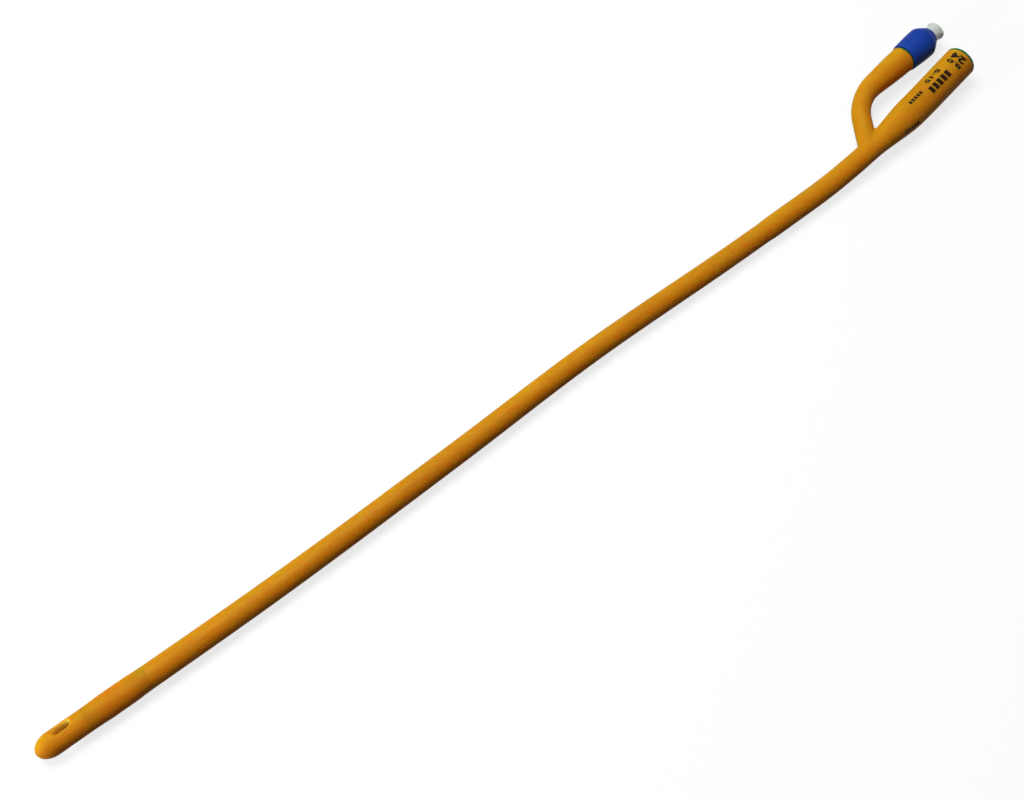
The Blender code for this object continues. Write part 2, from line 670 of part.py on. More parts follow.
def turn_faces_out(thing):
    """Reverses a mesh whose faces point inwards, judged by its signed volume."""
    mesh = thing.data
    mesh.calc_loop_triangles()
    volume = 0.0
    for triangle in mesh.loop_triangles:
        a, b, c = (mesh.vertices[i].co for i in triangle.vertices)
        volume += a.dot(b.cross(c))
    if volume < 0:
        mesh.flip_normals()


def place_on_table(things, outer_pieces):
    """Hangs everything on one empty, moved so that the model's bottom centre is at the origin."""
    bpy.context.view_layer.update()
    corners = np.array([tuple(thing.matrix_world @ v.co)
                        for thing in outer_pieces for v in thing.data.vertices])
    low, high = corners.min(axis=0), corners.max(axis=0)
    root = bpy.data.objects.new("table_place", None)
    bpy.context.scene.collection.objects.link(root)
    root.location = (-(low[0] + high[0]) / 2, -(low[1] + high[1]) / 2, -low[2])
    for thing in things:
        thing.parent = root


def main():
    """Builds the catheter piece by piece."""
    clear_scene()
    origin = arm_axis(ARM_LENGTH)
    body = make_catheter_body()
    pieces = {
        body: "amber_latex",
        make_balloon_sleeve(): "balloon_latex",
        make_valve_sleeve(origin): "blue_rubber",
        make_valve_housing(origin): "clear_white_plastic",
        make_valve_plunger(origin): "white_acetal",
        make_valve_seal(origin): "black_seal_rubber",
        make_valve_spring(origin): "spring_steel",
        make_valve_retainer(origin): "white_acetal",
    }
    everything = list(bpy.data.objects)
    for thing in everything:
        turn_faces_out(thing)
    for thing, finish_name in pieces.items():
        finish(thing, finish_name)
    place_on_table(everything, list(pieces))


main()
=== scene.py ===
"""Looks of a two-way urinary catheter of size 24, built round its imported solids.

The dipped latex piece is a closed skin drawn over a distance formula, so that the funnel, the arm
and the drainage eyes run into each other with the soft edges that dipping leaves. The balloon, the
valve's sleeve, its housing and what is inside are profiles carried round or along an axis. Sizes
are in millimetres and MM turns them into metres. Distances on the body run from the tip along its
axis, and lengths on the valve run from the near edge of its coloured sleeve.
"""

import logging
import math
from collections.abc import Callable, Sequence
from dataclasses import dataclass, field
from enum import Enum
from itertools import product
from typing import Protocol

import bmesh
import bpy
import numpy as np
from mathutils import Matrix, Vector


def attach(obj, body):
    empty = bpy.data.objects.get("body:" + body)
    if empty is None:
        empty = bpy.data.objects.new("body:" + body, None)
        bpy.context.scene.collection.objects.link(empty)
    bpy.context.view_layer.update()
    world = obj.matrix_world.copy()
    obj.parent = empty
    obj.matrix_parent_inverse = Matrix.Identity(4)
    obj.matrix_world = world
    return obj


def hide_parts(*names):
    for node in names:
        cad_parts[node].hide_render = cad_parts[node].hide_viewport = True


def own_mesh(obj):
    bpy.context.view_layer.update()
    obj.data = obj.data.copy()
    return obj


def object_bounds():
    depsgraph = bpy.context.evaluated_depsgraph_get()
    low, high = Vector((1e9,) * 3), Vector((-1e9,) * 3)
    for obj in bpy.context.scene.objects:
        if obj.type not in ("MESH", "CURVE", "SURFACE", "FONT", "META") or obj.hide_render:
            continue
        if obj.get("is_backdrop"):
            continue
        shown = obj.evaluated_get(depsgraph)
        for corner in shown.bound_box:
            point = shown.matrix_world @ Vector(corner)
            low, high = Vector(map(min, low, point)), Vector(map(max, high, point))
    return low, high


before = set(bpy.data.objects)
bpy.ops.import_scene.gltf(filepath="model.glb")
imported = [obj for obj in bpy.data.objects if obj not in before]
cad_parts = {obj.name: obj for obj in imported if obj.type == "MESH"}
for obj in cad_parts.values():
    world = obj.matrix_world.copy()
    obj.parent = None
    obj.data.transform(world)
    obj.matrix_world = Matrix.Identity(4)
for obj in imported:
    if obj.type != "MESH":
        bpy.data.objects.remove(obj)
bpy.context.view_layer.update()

LOG = logging.getLogger("catheter")
MM = 0.001
Array = np.ndarray
Triple = tuple[float, float, float]
Colour = Triple
Corners = Sequence[Triple]
Socket = bpy.types.NodeSocket
Piece = bpy.types.Object

END_ROOM = 1.0  # Length at each end of a route on which no nearest point lies.
SIDE_SHARE = 0.48  # Largest part of a side that the rounding of a corner takes up.
TINY = 1e-9  # Keeps a division by a side without length from failing.
WELD = 1e-7  # Metres within which points count as one.


# Formulas that the pieces share


def ease(share: Array) -> Array:
    """Rises smoothly from 0 to 1: three times the share squared less twice its cube, level outside.

    Args:
        share: How far along the rise each point is.

    Returns:
        The height of the rise at each point.
    """
    t = np.clip(share, 0.0, 1.0)
    return t * t * (3.0 - 2.0 * t)


def smooth_max(first: Array, second: Array, width: float | Array) -> Array:
    """The larger of two fields, with the crease between them rounded.

    Where the two differ by less than the width, the square of what is left of it, over four
    widths, is added.

    Args:
        first: Values of one field.
        second: Values of the other field.
        width: Difference of the fields below which the rounding starts.

    Returns:
        The joined field.
    """
    lap = np.maximum(width - np.abs(first - second), 0.0)
    return np.maximum(first, second) + lap * lap / (4.0 * width)


def smooth_min(first: Array, second: Array, width: float | Array) -> Array:
    """The smaller of two fields, rounded in the same way as smooth_max."""
    return -smooth_max(-first, -second, width)


def through_knots(knots: Sequence[tuple[float, float]], share: Array) -> Array:
    """A smooth curve through knots: a cubic on each stretch, with slopes from the knots beside it.

    Args:
        knots: Pairs of place and height, in order.
        share: Places where the curve is wanted.

    Returns:
        Its heights there.
    """
    place, height = np.array(knots).T
    ahead = np.minimum(np.arange(len(place)) + 1, len(place) - 1)
    behind = np.maximum(np.arange(len(place)) - 1, 0)
    slope = (height[ahead] - height[behind]) / (place[ahead] - place[behind])
    i = np.clip(np.searchsorted(place, share, side="right") - 1, 0, len(place) - 2)
    width = place[i + 1] - place[i]
    t = np.clip((share - place[i]) / width, 0.0, 1.0)
    near = (1 + 2 * t) * (1 - t) ** 2 * height[i] + t * (1 - t) ** 2 * width * slope[i]
    far = t * t * (3 - 2 * t) * height[i + 1] + t * t * (t - 1) * width * slope[i + 1]
    return near + far


def level_heading(degrees: float) -> Array:
    """The level unit vector that makes this angle with +X."""
    angle = math.radians(degrees)
    return np.array((math.cos(angle), math.sin(angle), 0.0))


@dataclass(frozen=True)
class Corner:
    """A bend of a level route: an arc that rounds the corner between two straight lines."""

    place: Array
    before: float
    after: float
    reach: float

    @property
    def turn(self) -> float:
        """Angle of the bend, in radians."""
        return math.radians(abs(self.after - self.before))

    @property
    def radius(self) -> float:
        """Radius of the arc."""
        return self.reach / math.tan(self.turn / 2)

    @property
    def length(self) -> float:
        """Length of the arc."""
        return self.radius * self.turn

    def past(self, distance: Array) -> Array:
        """Points at distances from the arc's start, along the arc and then straight on.

        Args:
            distance: Distances past the start of the arc.

        Returns:
            One point for each distance.
        """
        back, ahead = level_heading(self.before), level_heading(self.after)
        side = ahead - back * np.dot(back, ahead)
        side = side / np.linalg.norm(side)
        swept = (np.clip(distance, 0.0, self.length) / self.radius)[..., None]
        bend = back * (self.radius * np.sin(swept)) + side * (self.radius * (1 - np.cos(swept)))
        onward = ahead * np.maximum(distance - self.length, 0.0)[..., None]
        return self.place - back * self.reach + bend + onward


@dataclass(frozen=True)
class Route:
    """A smooth axis, held as closely spaced points at even distances."""

    distances: Array
    points: Array
    headings: Array = field(init=False)

    def __post_init__(self) -> None:
        """Works out the unit vector along the axis at each point."""
        ahead = np.gradient(self.points, axis=0)
        object.__setattr__(self, "headings", ahead / np.linalg.norm(ahead, axis=-1, keepdims=True))

    def between(self, rows: Array, distance: Array) -> Array:
        """Straight proportion between the two rows on either side of each distance.

        Args:
            rows: Values at the route's own distances.
            distance: Distances at which they are wanted.

        Returns:
            One row for each distance.
        """
        step = self.distances[1] - self.distances[0]
        place = (distance - self.distances[0]) / step
        i = np.clip(place.astype(int), 0, len(self.distances) - 2)
        share = (place - i)[..., None]
        return rows[i] * (1 - share) + rows[i + 1] * share

    def at(self, distance: Array) -> Array:
        """Points of the axis at these distances."""
        return self.between(self.points, distance)

    def along(self, distance: Array) -> Array:
        """Vectors along the axis at these distances."""
        return self.between(self.headings, distance)

    def square(self, distance: Array) -> tuple[Array, Array, Array]:
        """A point of the axis and the two directions square to it there.

        Args:
            distance: Distances along the axis.

        Returns:
            The point, the level side vector to its left, and the upright vector, for each.
        """
        ahead = self.along(distance)
        level = np.zeros_like(ahead[..., 0])
        side = np.stack([-ahead[..., 1], ahead[..., 0], level], axis=-1)
        side = side / np.linalg.norm(side, axis=-1, keepdims=True)
        return self.at(distance), side, np.cross(ahead, side)

    def ring(self, distance: Array, radius: Array, turns: Array) -> Array:
        """Points at a radius round the axis: side times the cosine plus upright times the sine.

        Args:
            distance: Distance of each ring along the axis.
            radius: Radius of each ring.
            turns: Angles round the axis, from the left side upwards.

        Returns:
            One row of points for each ring.
        """
        point, side, upright = self.square(distance)
        turns = turns[:, None]
        out = side[:, None] * np.cos(turns) + upright[:, None] * np.sin(turns)
        return point[:, None] + out * radius[:, None, None]

    def nearest(self, places: Array, rounds: int) -> tuple[Array, Array]:
        """Finds the axis point nearest to each place.

        It starts from the axis point with the same x, then slides along the axis by the part of
        the gap that lies along it, until little of it is left.

        Args:
            places: Points in space.
            rounds: How often it slides.

        Returns:
            The distance along the axis, and the length of the gap, for each place.
        """
        first, last = self.distances[0] + END_ROOM, self.distances[-1] - END_ROOM
        distance = np.interp(places[..., 0], self.points[:, 0], self.distances)
        for _ in range(rounds):
            gap = places - self.at(distance)
            slide = np.sum(gap * self.along(distance), axis=-1)
            distance = np.clip(distance + slide, first, last)
        return distance, np.linalg.norm(places - self.at(distance), axis=-1)


# Meshes


def full_turn(steps: int) -> Array:
    """Evenly spaced angles of one full turn."""
    return np.linspace(0.0, 2 * math.pi, steps, endpoint=False)


def linked(name: str, data: bpy.types.ID) -> Piece:
    """Makes an object and puts it into the scene.

    Args:
        name: Name of the object.
        data: Its mesh, lamp or camera.

    Returns:
        The object.
    """
    made = bpy.data.objects.new(name, data)
    bpy.context.scene.collection.objects.link(made)
    return made


@dataclass
class Skin:
    """Points and faces of one surface, with values that a finish may read at its points."""

    points: Array
    faces: Array
    values: dict[str, Array] = field(default_factory=dict)


def grid_faces(rows: int, columns: int, loop_rows: bool, loop_columns: bool) -> Array:
    """Four-sided faces between neighbouring points of a grid.

    Args:
        rows: Number of rows of points.
        columns: Number of points in a row.
        loop_rows: Whether the last row joins the first.
        loop_columns: Whether the last point of a row joins the first.

    Returns:
        Four point numbers for each face.
    """
    i, j = np.meshgrid(np.arange(rows if loop_rows else rows - 1),
                       np.arange(columns if loop_columns else columns - 1), indexing="ij")
    below, beside = (i + 1) % rows, (j + 1) % columns
    corners = (i * columns + j, below * columns + j, below * columns + beside, i * columns + beside)
    return np.stack([c.ravel() for c in corners], axis=-1)


def solid_piece(name: str, skin: Skin, weld: bool = False) -> Piece:
    """Puts a surface into a new object at the origin, turned so that its faces point outwards.

    The direction is judged by the volume under the faces: the sum of each corner triangle's
    triple product is positive when the faces of a closed surface look out.

    Args:
        name: Name of the piece.
        skin: The surface, in millimetres.
        weld: Whether points in one place become one, which closes poles on an axis.

    Returns:
        The new object, with smooth shading.
    """
    a, b, c, d = (skin.points[skin.faces[:, k]] for k in range(4))
    volume = np.sum(a * np.cross(b, c)) + np.sum(a * np.cross(c, d))
    faces = skin.faces if volume > 0 else skin.faces[:, ::-1]
    mesh = bpy.data.meshes.new(name)
    mesh.from_pydata((skin.points * MM).tolist(), [], faces.tolist())
    for label, values in skin.values.items():
        layer = mesh.attributes.new(label, "FLOAT", "POINT")
        layer.data.foreach_set("value", values.astype(np.float32))
    if weld:
        shell = bmesh.new()
        shell.from_mesh(mesh)
        bmesh.ops.remove_doubles(shell, verts=shell.verts, dist=WELD)
        shell.to_mesh(mesh)
        shell.free()
    mesh.shade_smooth()
    return linked(name, mesh)


def mesh_points(mesh: bpy.types.Mesh) -> Array:
    """Reads the places of a mesh's points.

    Args:
        mesh: The mesh.

    Returns:
        One row of three lengths for each point.
    """
    places = np.empty(3 * len(mesh.vertices))
    mesh.vertices.foreach_get("co", places)
    return places.reshape(-1, 3)


@dataclass(frozen=True)
class SkinNet:
    """Draws a closed skin over a field that is negative inside a solid.

    Space is cut into boxes. Each box that the skin passes through holds one point, at the middle
    of the places where the skin crosses the box's edges, and each crossed edge joins the points
    of the four boxes round it. The points are then spread evenly and drawn onto the skin.
    """

    formula: Callable[[Array], Array]
    lines: tuple[Array, Array, Array]
    corners: Array = field(default_factory=lambda: np.array(list(product((0, 1), repeat=3))))
    slab: int = 40
    probe: float = 0.01
    least_steepness: float = 0.1
    spreads: int = 2
    pulls: int = 2

    def sampled(self) -> Array:
        """Works out the formula where the boxes' corners are, a few slices at a time.

        Returns:
            Its values, in three directions.
        """
        xs, ys, zs = self.lines
        slabs = np.array_split(xs, max(1, len(xs) // self.slab))
        grids = (np.stack(np.meshgrid(slab, ys, zs, indexing="ij"), axis=-1) for slab in slabs)
        return np.concatenate([self.formula(grid) for grid in grids])

    def crossings(self, values: Array, boxes: Array) -> Array:
        """Middle of the places where the skin crosses each box's edges, by straight proportion.

        Args:
            values: Values at all corners of the boxes.
            boxes: Numbers of the boxes that the skin passes through.

        Returns:
            One point for each of those boxes.
        """
        corners = self.corners
        apart = np.abs(corners[:, None] - corners[None]).sum(axis=-1)
        edges = np.argwhere(np.triu(apart == 1))
        nodes = boxes[:, None, :] + corners[None]
        value = values[nodes[..., 0], nodes[..., 1], nodes[..., 2]]
        place = np.stack([line[nodes[..., k]] for k, line in enumerate(self.lines)], axis=-1)
        low, high = value[:, edges[:, 0]], value[:, edges[:, 1]]
        cut = (low < 0) != (high < 0)
        share = np.where(cut, low / np.where(cut, low - high, 1.0), 0.0)[..., None]
        spots = place[:, edges[:, 0]] * (1 - share) + place[:, edges[:, 1]] * share
        return (spots * cut[..., None]).sum(axis=1) / cut.sum(axis=1)[:, None]

    def slope(self, places: Array) -> Array:
        """Slope of the formula: its values a probe's length to either side, over their distance.

        Args:
            places: Points in space.

        Returns:
            The slope along each direction, for each place.
        """
        sides = np.eye(3) * self.probe
        rises = [self.formula(places + side) - self.formula(places - side) for side in sides]
        return np.stack(rises, axis=-1) / (2 * self.probe)

    def drawn_on(self, places: Array) -> Array:
        """Moves places down or up the slope of the formula until its value there is nought.

        Args:
            places: Points near the skin.

        Returns:
            Points on the skin.
        """
        for _ in range(self.pulls):
            slope = self.slope(places)
            steepness = np.maximum(np.sum(slope * slope, axis=-1), self.least_steepness)
            places = places - slope * (self.formula(places) / steepness)[:, None]
        return places

    def joined(self, inside: Array, number: Array) -> Array:
        """Joins the points of the four boxes round each crossed edge, so that the face looks out.

        Args:
            inside: Whether each corner of the boxes lies inside the solid.
            number: Number of the point in each box.

        Returns:
            Four point numbers for each face.
        """
        faces = []
        for axis in range(3):
            rows = np.moveaxis(inside, axis, 0)
            edges = np.argwhere(np.moveaxis(rows[:-1] != rows[1:], 0, axis))
            around = np.zeros((4, 3), int)
            around[[0, 3], (axis + 1) % 3] = -1
            around[[0, 1], (axis + 2) % 3] = -1
            near = edges[:, None, :] + around[None]
            face = number[near[..., 0], near[..., 1], near[..., 2]]
            looks_back = ~inside[tuple(edges.T)]
            face[looks_back] = face[looks_back][:, ::-1]
            faces.append(face)
        return np.concatenate(faces)

    def skin(self) -> Skin:
        """Makes the net.

        Returns:
            The closed surface.
        """
        values = self.sampled()
        inside = values < 0
        nx, ny, nz = (n - 1 for n in inside.shape)
        corners = [inside[i:i + nx, j:j + ny, k:k + nz] for i, j, k in self.corners]
        filled = np.sum(corners, axis=0, dtype=np.int8)
        crossed = (filled > 0) & (filled < len(corners))
        boxes = np.argwhere(crossed)
        number = np.full(crossed.shape, -1)
        number[crossed] = np.arange(len(boxes))
        net = self.joined(inside, number)
        places = self.drawn_on(self.crossings(values, boxes))
        share = np.bincount(net.ravel(), minlength=len(places))
        for _ in range(self.spreads):
            middle = np.repeat(places[net].mean(axis=1), 4, axis=0)
            spread = [np.bincount(net.ravel(), row, len(places)) / share for row in middle.T]
            places = self.drawn_on(np.stack(spread, axis=-1))
        return Skin(places, net)


def rounded(corners: Corners, steps: int = 6) -> Array:
    """Rounds the corners of a closed outline.

    Each rounding is a parabola that starts and ends at its reach from the corner, and no further
    than just under half of the side. A corner without reach stays one point.

    Args:
        corners: Length along the axis, radius, and reach of the rounding.
        steps: Points on each rounding.

    Returns:
        Pairs of length and radius.
    """
    table = np.array(corners)
    corner, reach = table[:, :2], table[:, 2]
    ends = []
    for side in (np.roll(corner, 1, axis=0) - corner, np.roll(corner, -1, axis=0) - corner):
        length = np.maximum(np.linalg.norm(side, axis=1), TINY)
        cut = np.minimum(reach, SIDE_SHARE * length) / length
        ends.append((corner + side * cut[:, None])[:, None])
    first, last = ends
    t = np.linspace(0.0, 1.0, steps)[None, :, None]
    arcs = (1 - t) ** 2 * first + 2 * t * (1 - t) * corner[:, None] + t * t * last
    kept = (reach[:, None] > 0) | (np.arange(steps)[None] == 0)
    return arcs[kept]


# Finishes


class Nodes:
    """Adds nodes to one tree of nodes."""

    def __init__(self, tree: bpy.types.NodeTree) -> None:
        """Takes the tree.

        Args:
            tree: The tree of a material or a world.
        """
        self.tree = tree

    def put(self, socket: Socket, value: object) -> None:
        """Joins another node's output to a socket, or sets the socket to a value.

        Args:
            socket: The socket.
            value: The output or the value.
        """
        if isinstance(value, Socket):
            self.tree.links.new(value, socket)
        else:
            socket.default_value = value

    def node(self, kind: str, inputs: dict | None = None, **settings: object) -> bpy.types.Node:
        """Adds a node.

        Args:
            kind: Blender's name for the kind of node.
            inputs: Values or other nodes' outputs for its sockets, by name or number.
            settings: Its other settings.

        Returns:
            The node.
        """
        made = self.tree.nodes.new(kind)
        for key, value in settings.items():
            setattr(made, key, value)
        for key, value in (inputs or {}).items():
            self.put(made.inputs[key], value)
        return made

    def blend(self, share: Socket, first: Socket | Colour, second: Socket | Colour) -> Socket:
        """A colour between two.

        Args:
            share: Share of the second colour, from 0 to 1.
            first: One colour.
            second: The other colour.

        Returns:
            The blended colour.
        """
        tones = [tone if isinstance(tone, Socket) else (*tone, 1.0) for tone in (first, second)]
        inputs = {0: share, 6: tones[0], 7: tones[1]}
        return self.node("ShaderNodeMix", inputs, data_type="RGBA").outputs[2]

    def sum_up(self, operation: str, first: Socket, second: Socket | float) -> Socket:
        """Works two values into one, by the operation that is named."""
        return self.node("ShaderNodeMath", {0: first, 1: second}, operation=operation).outputs[0]


class Graph(Nodes):
    """Writes the nodes of one material, on the piece's own coordinates."""

    def __init__(self, name: str) -> None:
        """Makes a material with a Principled shader.

        Args:
            name: Name of the material.
        """
        self.material = bpy.data.materials.new(name)
        self.material.use_nodes = True
        super().__init__(self.material.node_tree)
        self.shader = self.tree.nodes["Principled BSDF"]
        own = self.node("ShaderNodeTexCoord")
        self.places, self.normals = own.outputs["Object"], own.outputs["Normal"]

    def noise(self, scale: float, detail: float = 2.0, stretch: Triple = (1.0, 1.0, 1.0)) -> Socket:
        """A cloudy pattern.

        Args:
            scale: Number of clouds in a metre.
            detail: How many finer layers lie on the clouds.
            stretch: Factor on the scale along each axis.

        Returns:
            A value from 0 to 1.
        """
        mapped = self.node("ShaderNodeMapping", {"Vector": self.places, "Scale": stretch})
        inputs = {"Vector": mapped.outputs["Vector"], "Scale": scale, "Detail": detail}
        return self.node("ShaderNodeTexNoise", inputs).outputs["Fac"]

    def ranged(self, value: Socket, span: tuple[float, float],
               onto: tuple[float, float] = (0.0, 1.0)) -> Socket:
        """A value moved from one span onto another, and held within it.

        Args:
            value: The value.
            span: Its lowest and highest value.
            onto: What those become.

        Returns:
            The moved value.
        """
        inputs = {"Value": value, "From Min": span[0], "From Max": span[1],
                  "To Min": onto[0], "To Max": onto[1]}
        return self.node("ShaderNodeMapRange", inputs).outputs["Result"]

    def facing(self, side: Triple) -> Socket:
        """How far the surface faces a side of the piece, from -1 away from it to 1 towards it."""
        inputs = {0: self.normals, 1: side}
        return self.node("ShaderNodeVectorMath", inputs, operation="DOT_PRODUCT").outputs["Value"]

    def attribute(self, name: str) -> Socket:
        """A value that the piece's mesh carries at its points."""
        return self.node("ShaderNodeAttribute", attribute_name=name).outputs["Fac"]

    def bumps(self, height: Socket, depth: float, under: Socket | None = None) -> Socket:
        """Bumps from a height pattern, on top of other bumps.

        Args:
            height: Pattern from 0 to 1.
            depth: Height in millimetres that 1 stands for.
            under: Bumps from a coarser pattern.

        Returns:
            The bent normal.
        """
        sockets = {"Height": height, "Distance": depth * MM, "Strength": 1.0}
        if under is not None:
            sockets["Normal"] = under
        return self.node("ShaderNodeBump", sockets).outputs["Normal"]

    def wire(self, **sockets: Socket) -> None:
        """Joins outputs to the shader's sockets, named with underscores for spaces."""
        for name, socket in sockets.items():
            self.tree.links.new(socket, self.shader.inputs[name.replace("_", " ")])

    def fix(self, values: dict[str, object]) -> None:
        """Sets the shader's own sockets that are the same all over."""
        for name, value in values.items():
            self.shader.inputs[name].default_value = value


class Finish(Protocol):
    """What every finish has: a name, and a material that it can write."""

    name: str

    def material(self) -> bpy.types.Material:
        """Writes the nodes of the material."""


def finished(piece: Piece, body: str, nodes: Sequence[str], finish: Finish) -> Piece:
    """Dresses a piece and ties it to the frame.

    Args:
        piece: The piece.
        body: The body that it moves with.
        nodes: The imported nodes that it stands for.
        finish: Its finish.

    Returns:
        The same piece.
    """
    piece.data.materials.append(finish.material())
    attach(piece, body)
    if nodes:
        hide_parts(*nodes)
    return piece


@dataclass(frozen=True)
class LatexFinish:
    """Dipped natural latex: amber, slightly cloudy, satin, and a little translucent.

    The scales of the patterns are their numbers of clouds in a metre, here and in the others.
    """

    name: str = "amber_latex"
    amber: Colour = (0.54, 0.255, 0.0022)
    deep: Colour = (0.47, 0.200, 0.0018)
    speck: Colour = (0.51, 0.225, 0.006)
    # Painted shade: a deeper, redder tone for the side that faces away from the key lamp.
    painted_shade: Colour = (0.52, 0.178, 0.0016)
    painted_shade_side: Triple = (0.0, -1.0, 0.0)
    painted_shade_from: tuple[float, float] = (-0.2, 0.65)
    # Painted light: the inner walls of the lumen and the eyes are painted bright yellow-orange, for
    # light shining through the thin wall.
    inner: Colour = (1.0, 0.70, 0.10)
    # Painted shade: a dark green band at the mouth's rim and at the arm's end, for the shaded edge
    # lines there.
    shade_paint: Colour = (0.006, 0.125, 0.028)
    gloss: tuple[float, float] = (0.50, 0.62)
    cloud_scale: float = 38.0
    speck_scale: float = 1300.0
    gloss_scale: float = 160.0
    wave_scale: float = 70.0
    wave_depth: float = 0.10
    grain_scale: float = 1500.0
    grain_depth: float = 0.006

    def material(self) -> bpy.types.Material:
        """Writes the nodes: clouds, specks, painted light on the marked inner walls and painted
        shade on the marked edges.

        The latex is painted deeper and redder on the side away from the key lamp: painted shade,
        judged by how far the surface faces that side.

        Returns:
            The material.
        """
        g = Graph(self.name)
        clouds = g.ranged(g.noise(self.cloud_scale, 3.0), (0.3, 0.7))
        skin = g.blend(clouds, self.amber, self.deep)
        specks = g.ranged(g.noise(self.speck_scale), (0.55, 0.75), (0.0, 0.5))
        skin = g.blend(specks, skin, self.speck)
        # Painted shade: blends the deeper, redder tone onto the side that faces away from the key
        # lamp.
        turned = g.ranged(g.facing(self.painted_shade_side), self.painted_shade_from)
        skin = g.blend(turned, skin, self.painted_shade)
        # Painted light: the marked inner walls take the bright yellow-orange glow colour.
        skin = g.blend(g.attribute("inner_wall_glow_paint"), skin, self.inner)
        # Painted shade: the marked bands at the mouth's rim and the arm's end turn dark green.
        skin = g.blend(g.attribute("shade_paint_edge"), skin, self.shade_paint)
        rough = g.ranged(g.noise(self.gloss_scale, 3.0), (0.3, 0.7), self.gloss)
        waves = g.bumps(g.noise(self.wave_scale, 2.0, (0.4, 1.0, 1.0)), self.wave_depth)
        grain = g.bumps(g.noise(self.grain_scale), self.grain_depth, waves)
        g.wire(Base_Color=skin, Roughness=rough, Normal=grain)
        g.fix({"IOR": 1.52, "Specular IOR Level": 0.07, "Subsurface Weight": 0.9,
               "Subsurface Radius": (1.0, 0.15, 0.03), "Subsurface Scale": 4.0 * MM})
        return g.material


@dataclass(frozen=True)
class RubberFinish:
    """Moulded rubber: matt, with a fine grain and rubbed, slightly paler patches."""

    name: str
    colour: Colour
    rubbed: Colour
    gloss: tuple[float, float] = (0.46, 0.60)
    cloud_scale: float = 130.0
    grain_scale: float = 2600.0
    grain_depth: float = 0.018

    def material(self) -> bpy.types.Material:
        """Writes the nodes: two tones in clouds, and a grain of small bumps.

        Returns:
            The material.
        """
        g = Graph(self.name)
        clouds = g.ranged(g.noise(self.cloud_scale, 4.0), (0.40, 0.72))
        grain = g.noise(self.grain_scale)
        tone = g.blend(clouds, self.colour, self.rubbed)
        tone = g.blend(g.ranged(grain, (0.5, 0.8), (0.0, 0.35)), tone, self.rubbed)
        rough = g.ranged(grain, (0.3, 0.7), self.gloss)
        g.wire(Base_Color=tone, Roughness=rough, Normal=g.bumps(grain, self.grain_depth))
        g.fix({"IOR": 1.5, "Specular IOR Level": 0.08})
        return g.material


@dataclass(frozen=True)
class PlasticFinish:
    """Moulded plastic, more or less milky, with faint flow clouds and a fine texture."""

    name: str
    colour: Colour
    cloud: Colour
    depth: float
    gloss: tuple[float, float] = (0.26, 0.36)
    cloud_scale: float = 220.0
    gloss_scale: float = 500.0
    grain_scale: float = 1800.0
    grain_depth: float = 0.005

    def material(self) -> bpy.types.Material:
        """Writes the nodes: faint clouds of a second tone, and light that enters by a set depth.

        Returns:
            The material.
        """
        g = Graph(self.name)
        clouds = g.ranged(g.noise(self.cloud_scale, 3.0, (0.5, 1.0, 1.0)), (0.35, 0.7))
        rough = g.ranged(g.noise(self.gloss_scale), (0.3, 0.7), self.gloss)
        g.wire(Base_Color=g.blend(clouds, self.colour, self.cloud), Roughness=rough,
               Normal=g.bumps(g.noise(self.grain_scale), self.grain_depth))
        g.fix({"IOR": 1.49, "Subsurface Weight": 0.5, "Subsurface Radius": (1.0, 1.0, 0.95),
               "Subsurface Scale": self.depth * MM})
        return g.material


@dataclass(frozen=True)
class SteelFinish:
    """Drawn spring wire: bright, with faint marks of the die along it."""

    name: str = "spring_steel"
    bright: Colour = (0.60, 0.60, 0.61)
    dull: Colour = (0.42, 0.41, 0.40)
    gloss: tuple[float, float] = (0.20, 0.34)
    cloud_scale: float = 900.0
    gloss_scale: float = 1800.0
    grain_scale: float = 4000.0
    grain_depth: float = 0.002

    def material(self) -> bpy.types.Material:
        """Writes the nodes: clouds of duller steel and fine marks.

        Returns:
            The material.
        """
        g = Graph(self.name)
        clouds = g.ranged(g.noise(self.cloud_scale, 3.0), (0.35, 0.7))
        rough = g.ranged(g.noise(self.gloss_scale), (0.3, 0.7), self.gloss)
        g.wire(Base_Color=g.blend(clouds, self.bright, self.dull), Roughness=rough,
               Normal=g.bumps(g.noise(self.grain_scale, 1.0), self.grain_depth))
        g.fix({"Metallic": 1.0})
        return g.material


@dataclass(frozen=True)
class InkFinish:
    """Black marking ink: nearly matt, thinner in small patches."""

    name: str = "marking_ink"
    black: Colour = (0.019, 0.007, 0.004)
    thin: Colour = (0.042, 0.016, 0.006)
    gloss: tuple[float, float] = (0.48, 0.62)
    patch_scale: float = 1100.0
    grain_scale: float = 2200.0
    grain_depth: float = 0.006

    def material(self) -> bpy.types.Material:
        """Writes the nodes: small patches where the ink lies thinner.

        Returns:
            The material.
        """
        g = Graph(self.name)
        patches = g.ranged(g.noise(self.patch_scale, 3.0), (0.48, 0.75))
        g.wire(Base_Color=g.blend(patches, self.black, self.thin),
               Roughness=g.ranged(patches, (0.0, 1.0), self.gloss),
               Normal=g.bumps(g.noise(self.grain_scale), self.grain_depth))
        g.fix({"Specular IOR Level": 0.03})
        return g.material


# The latex piece


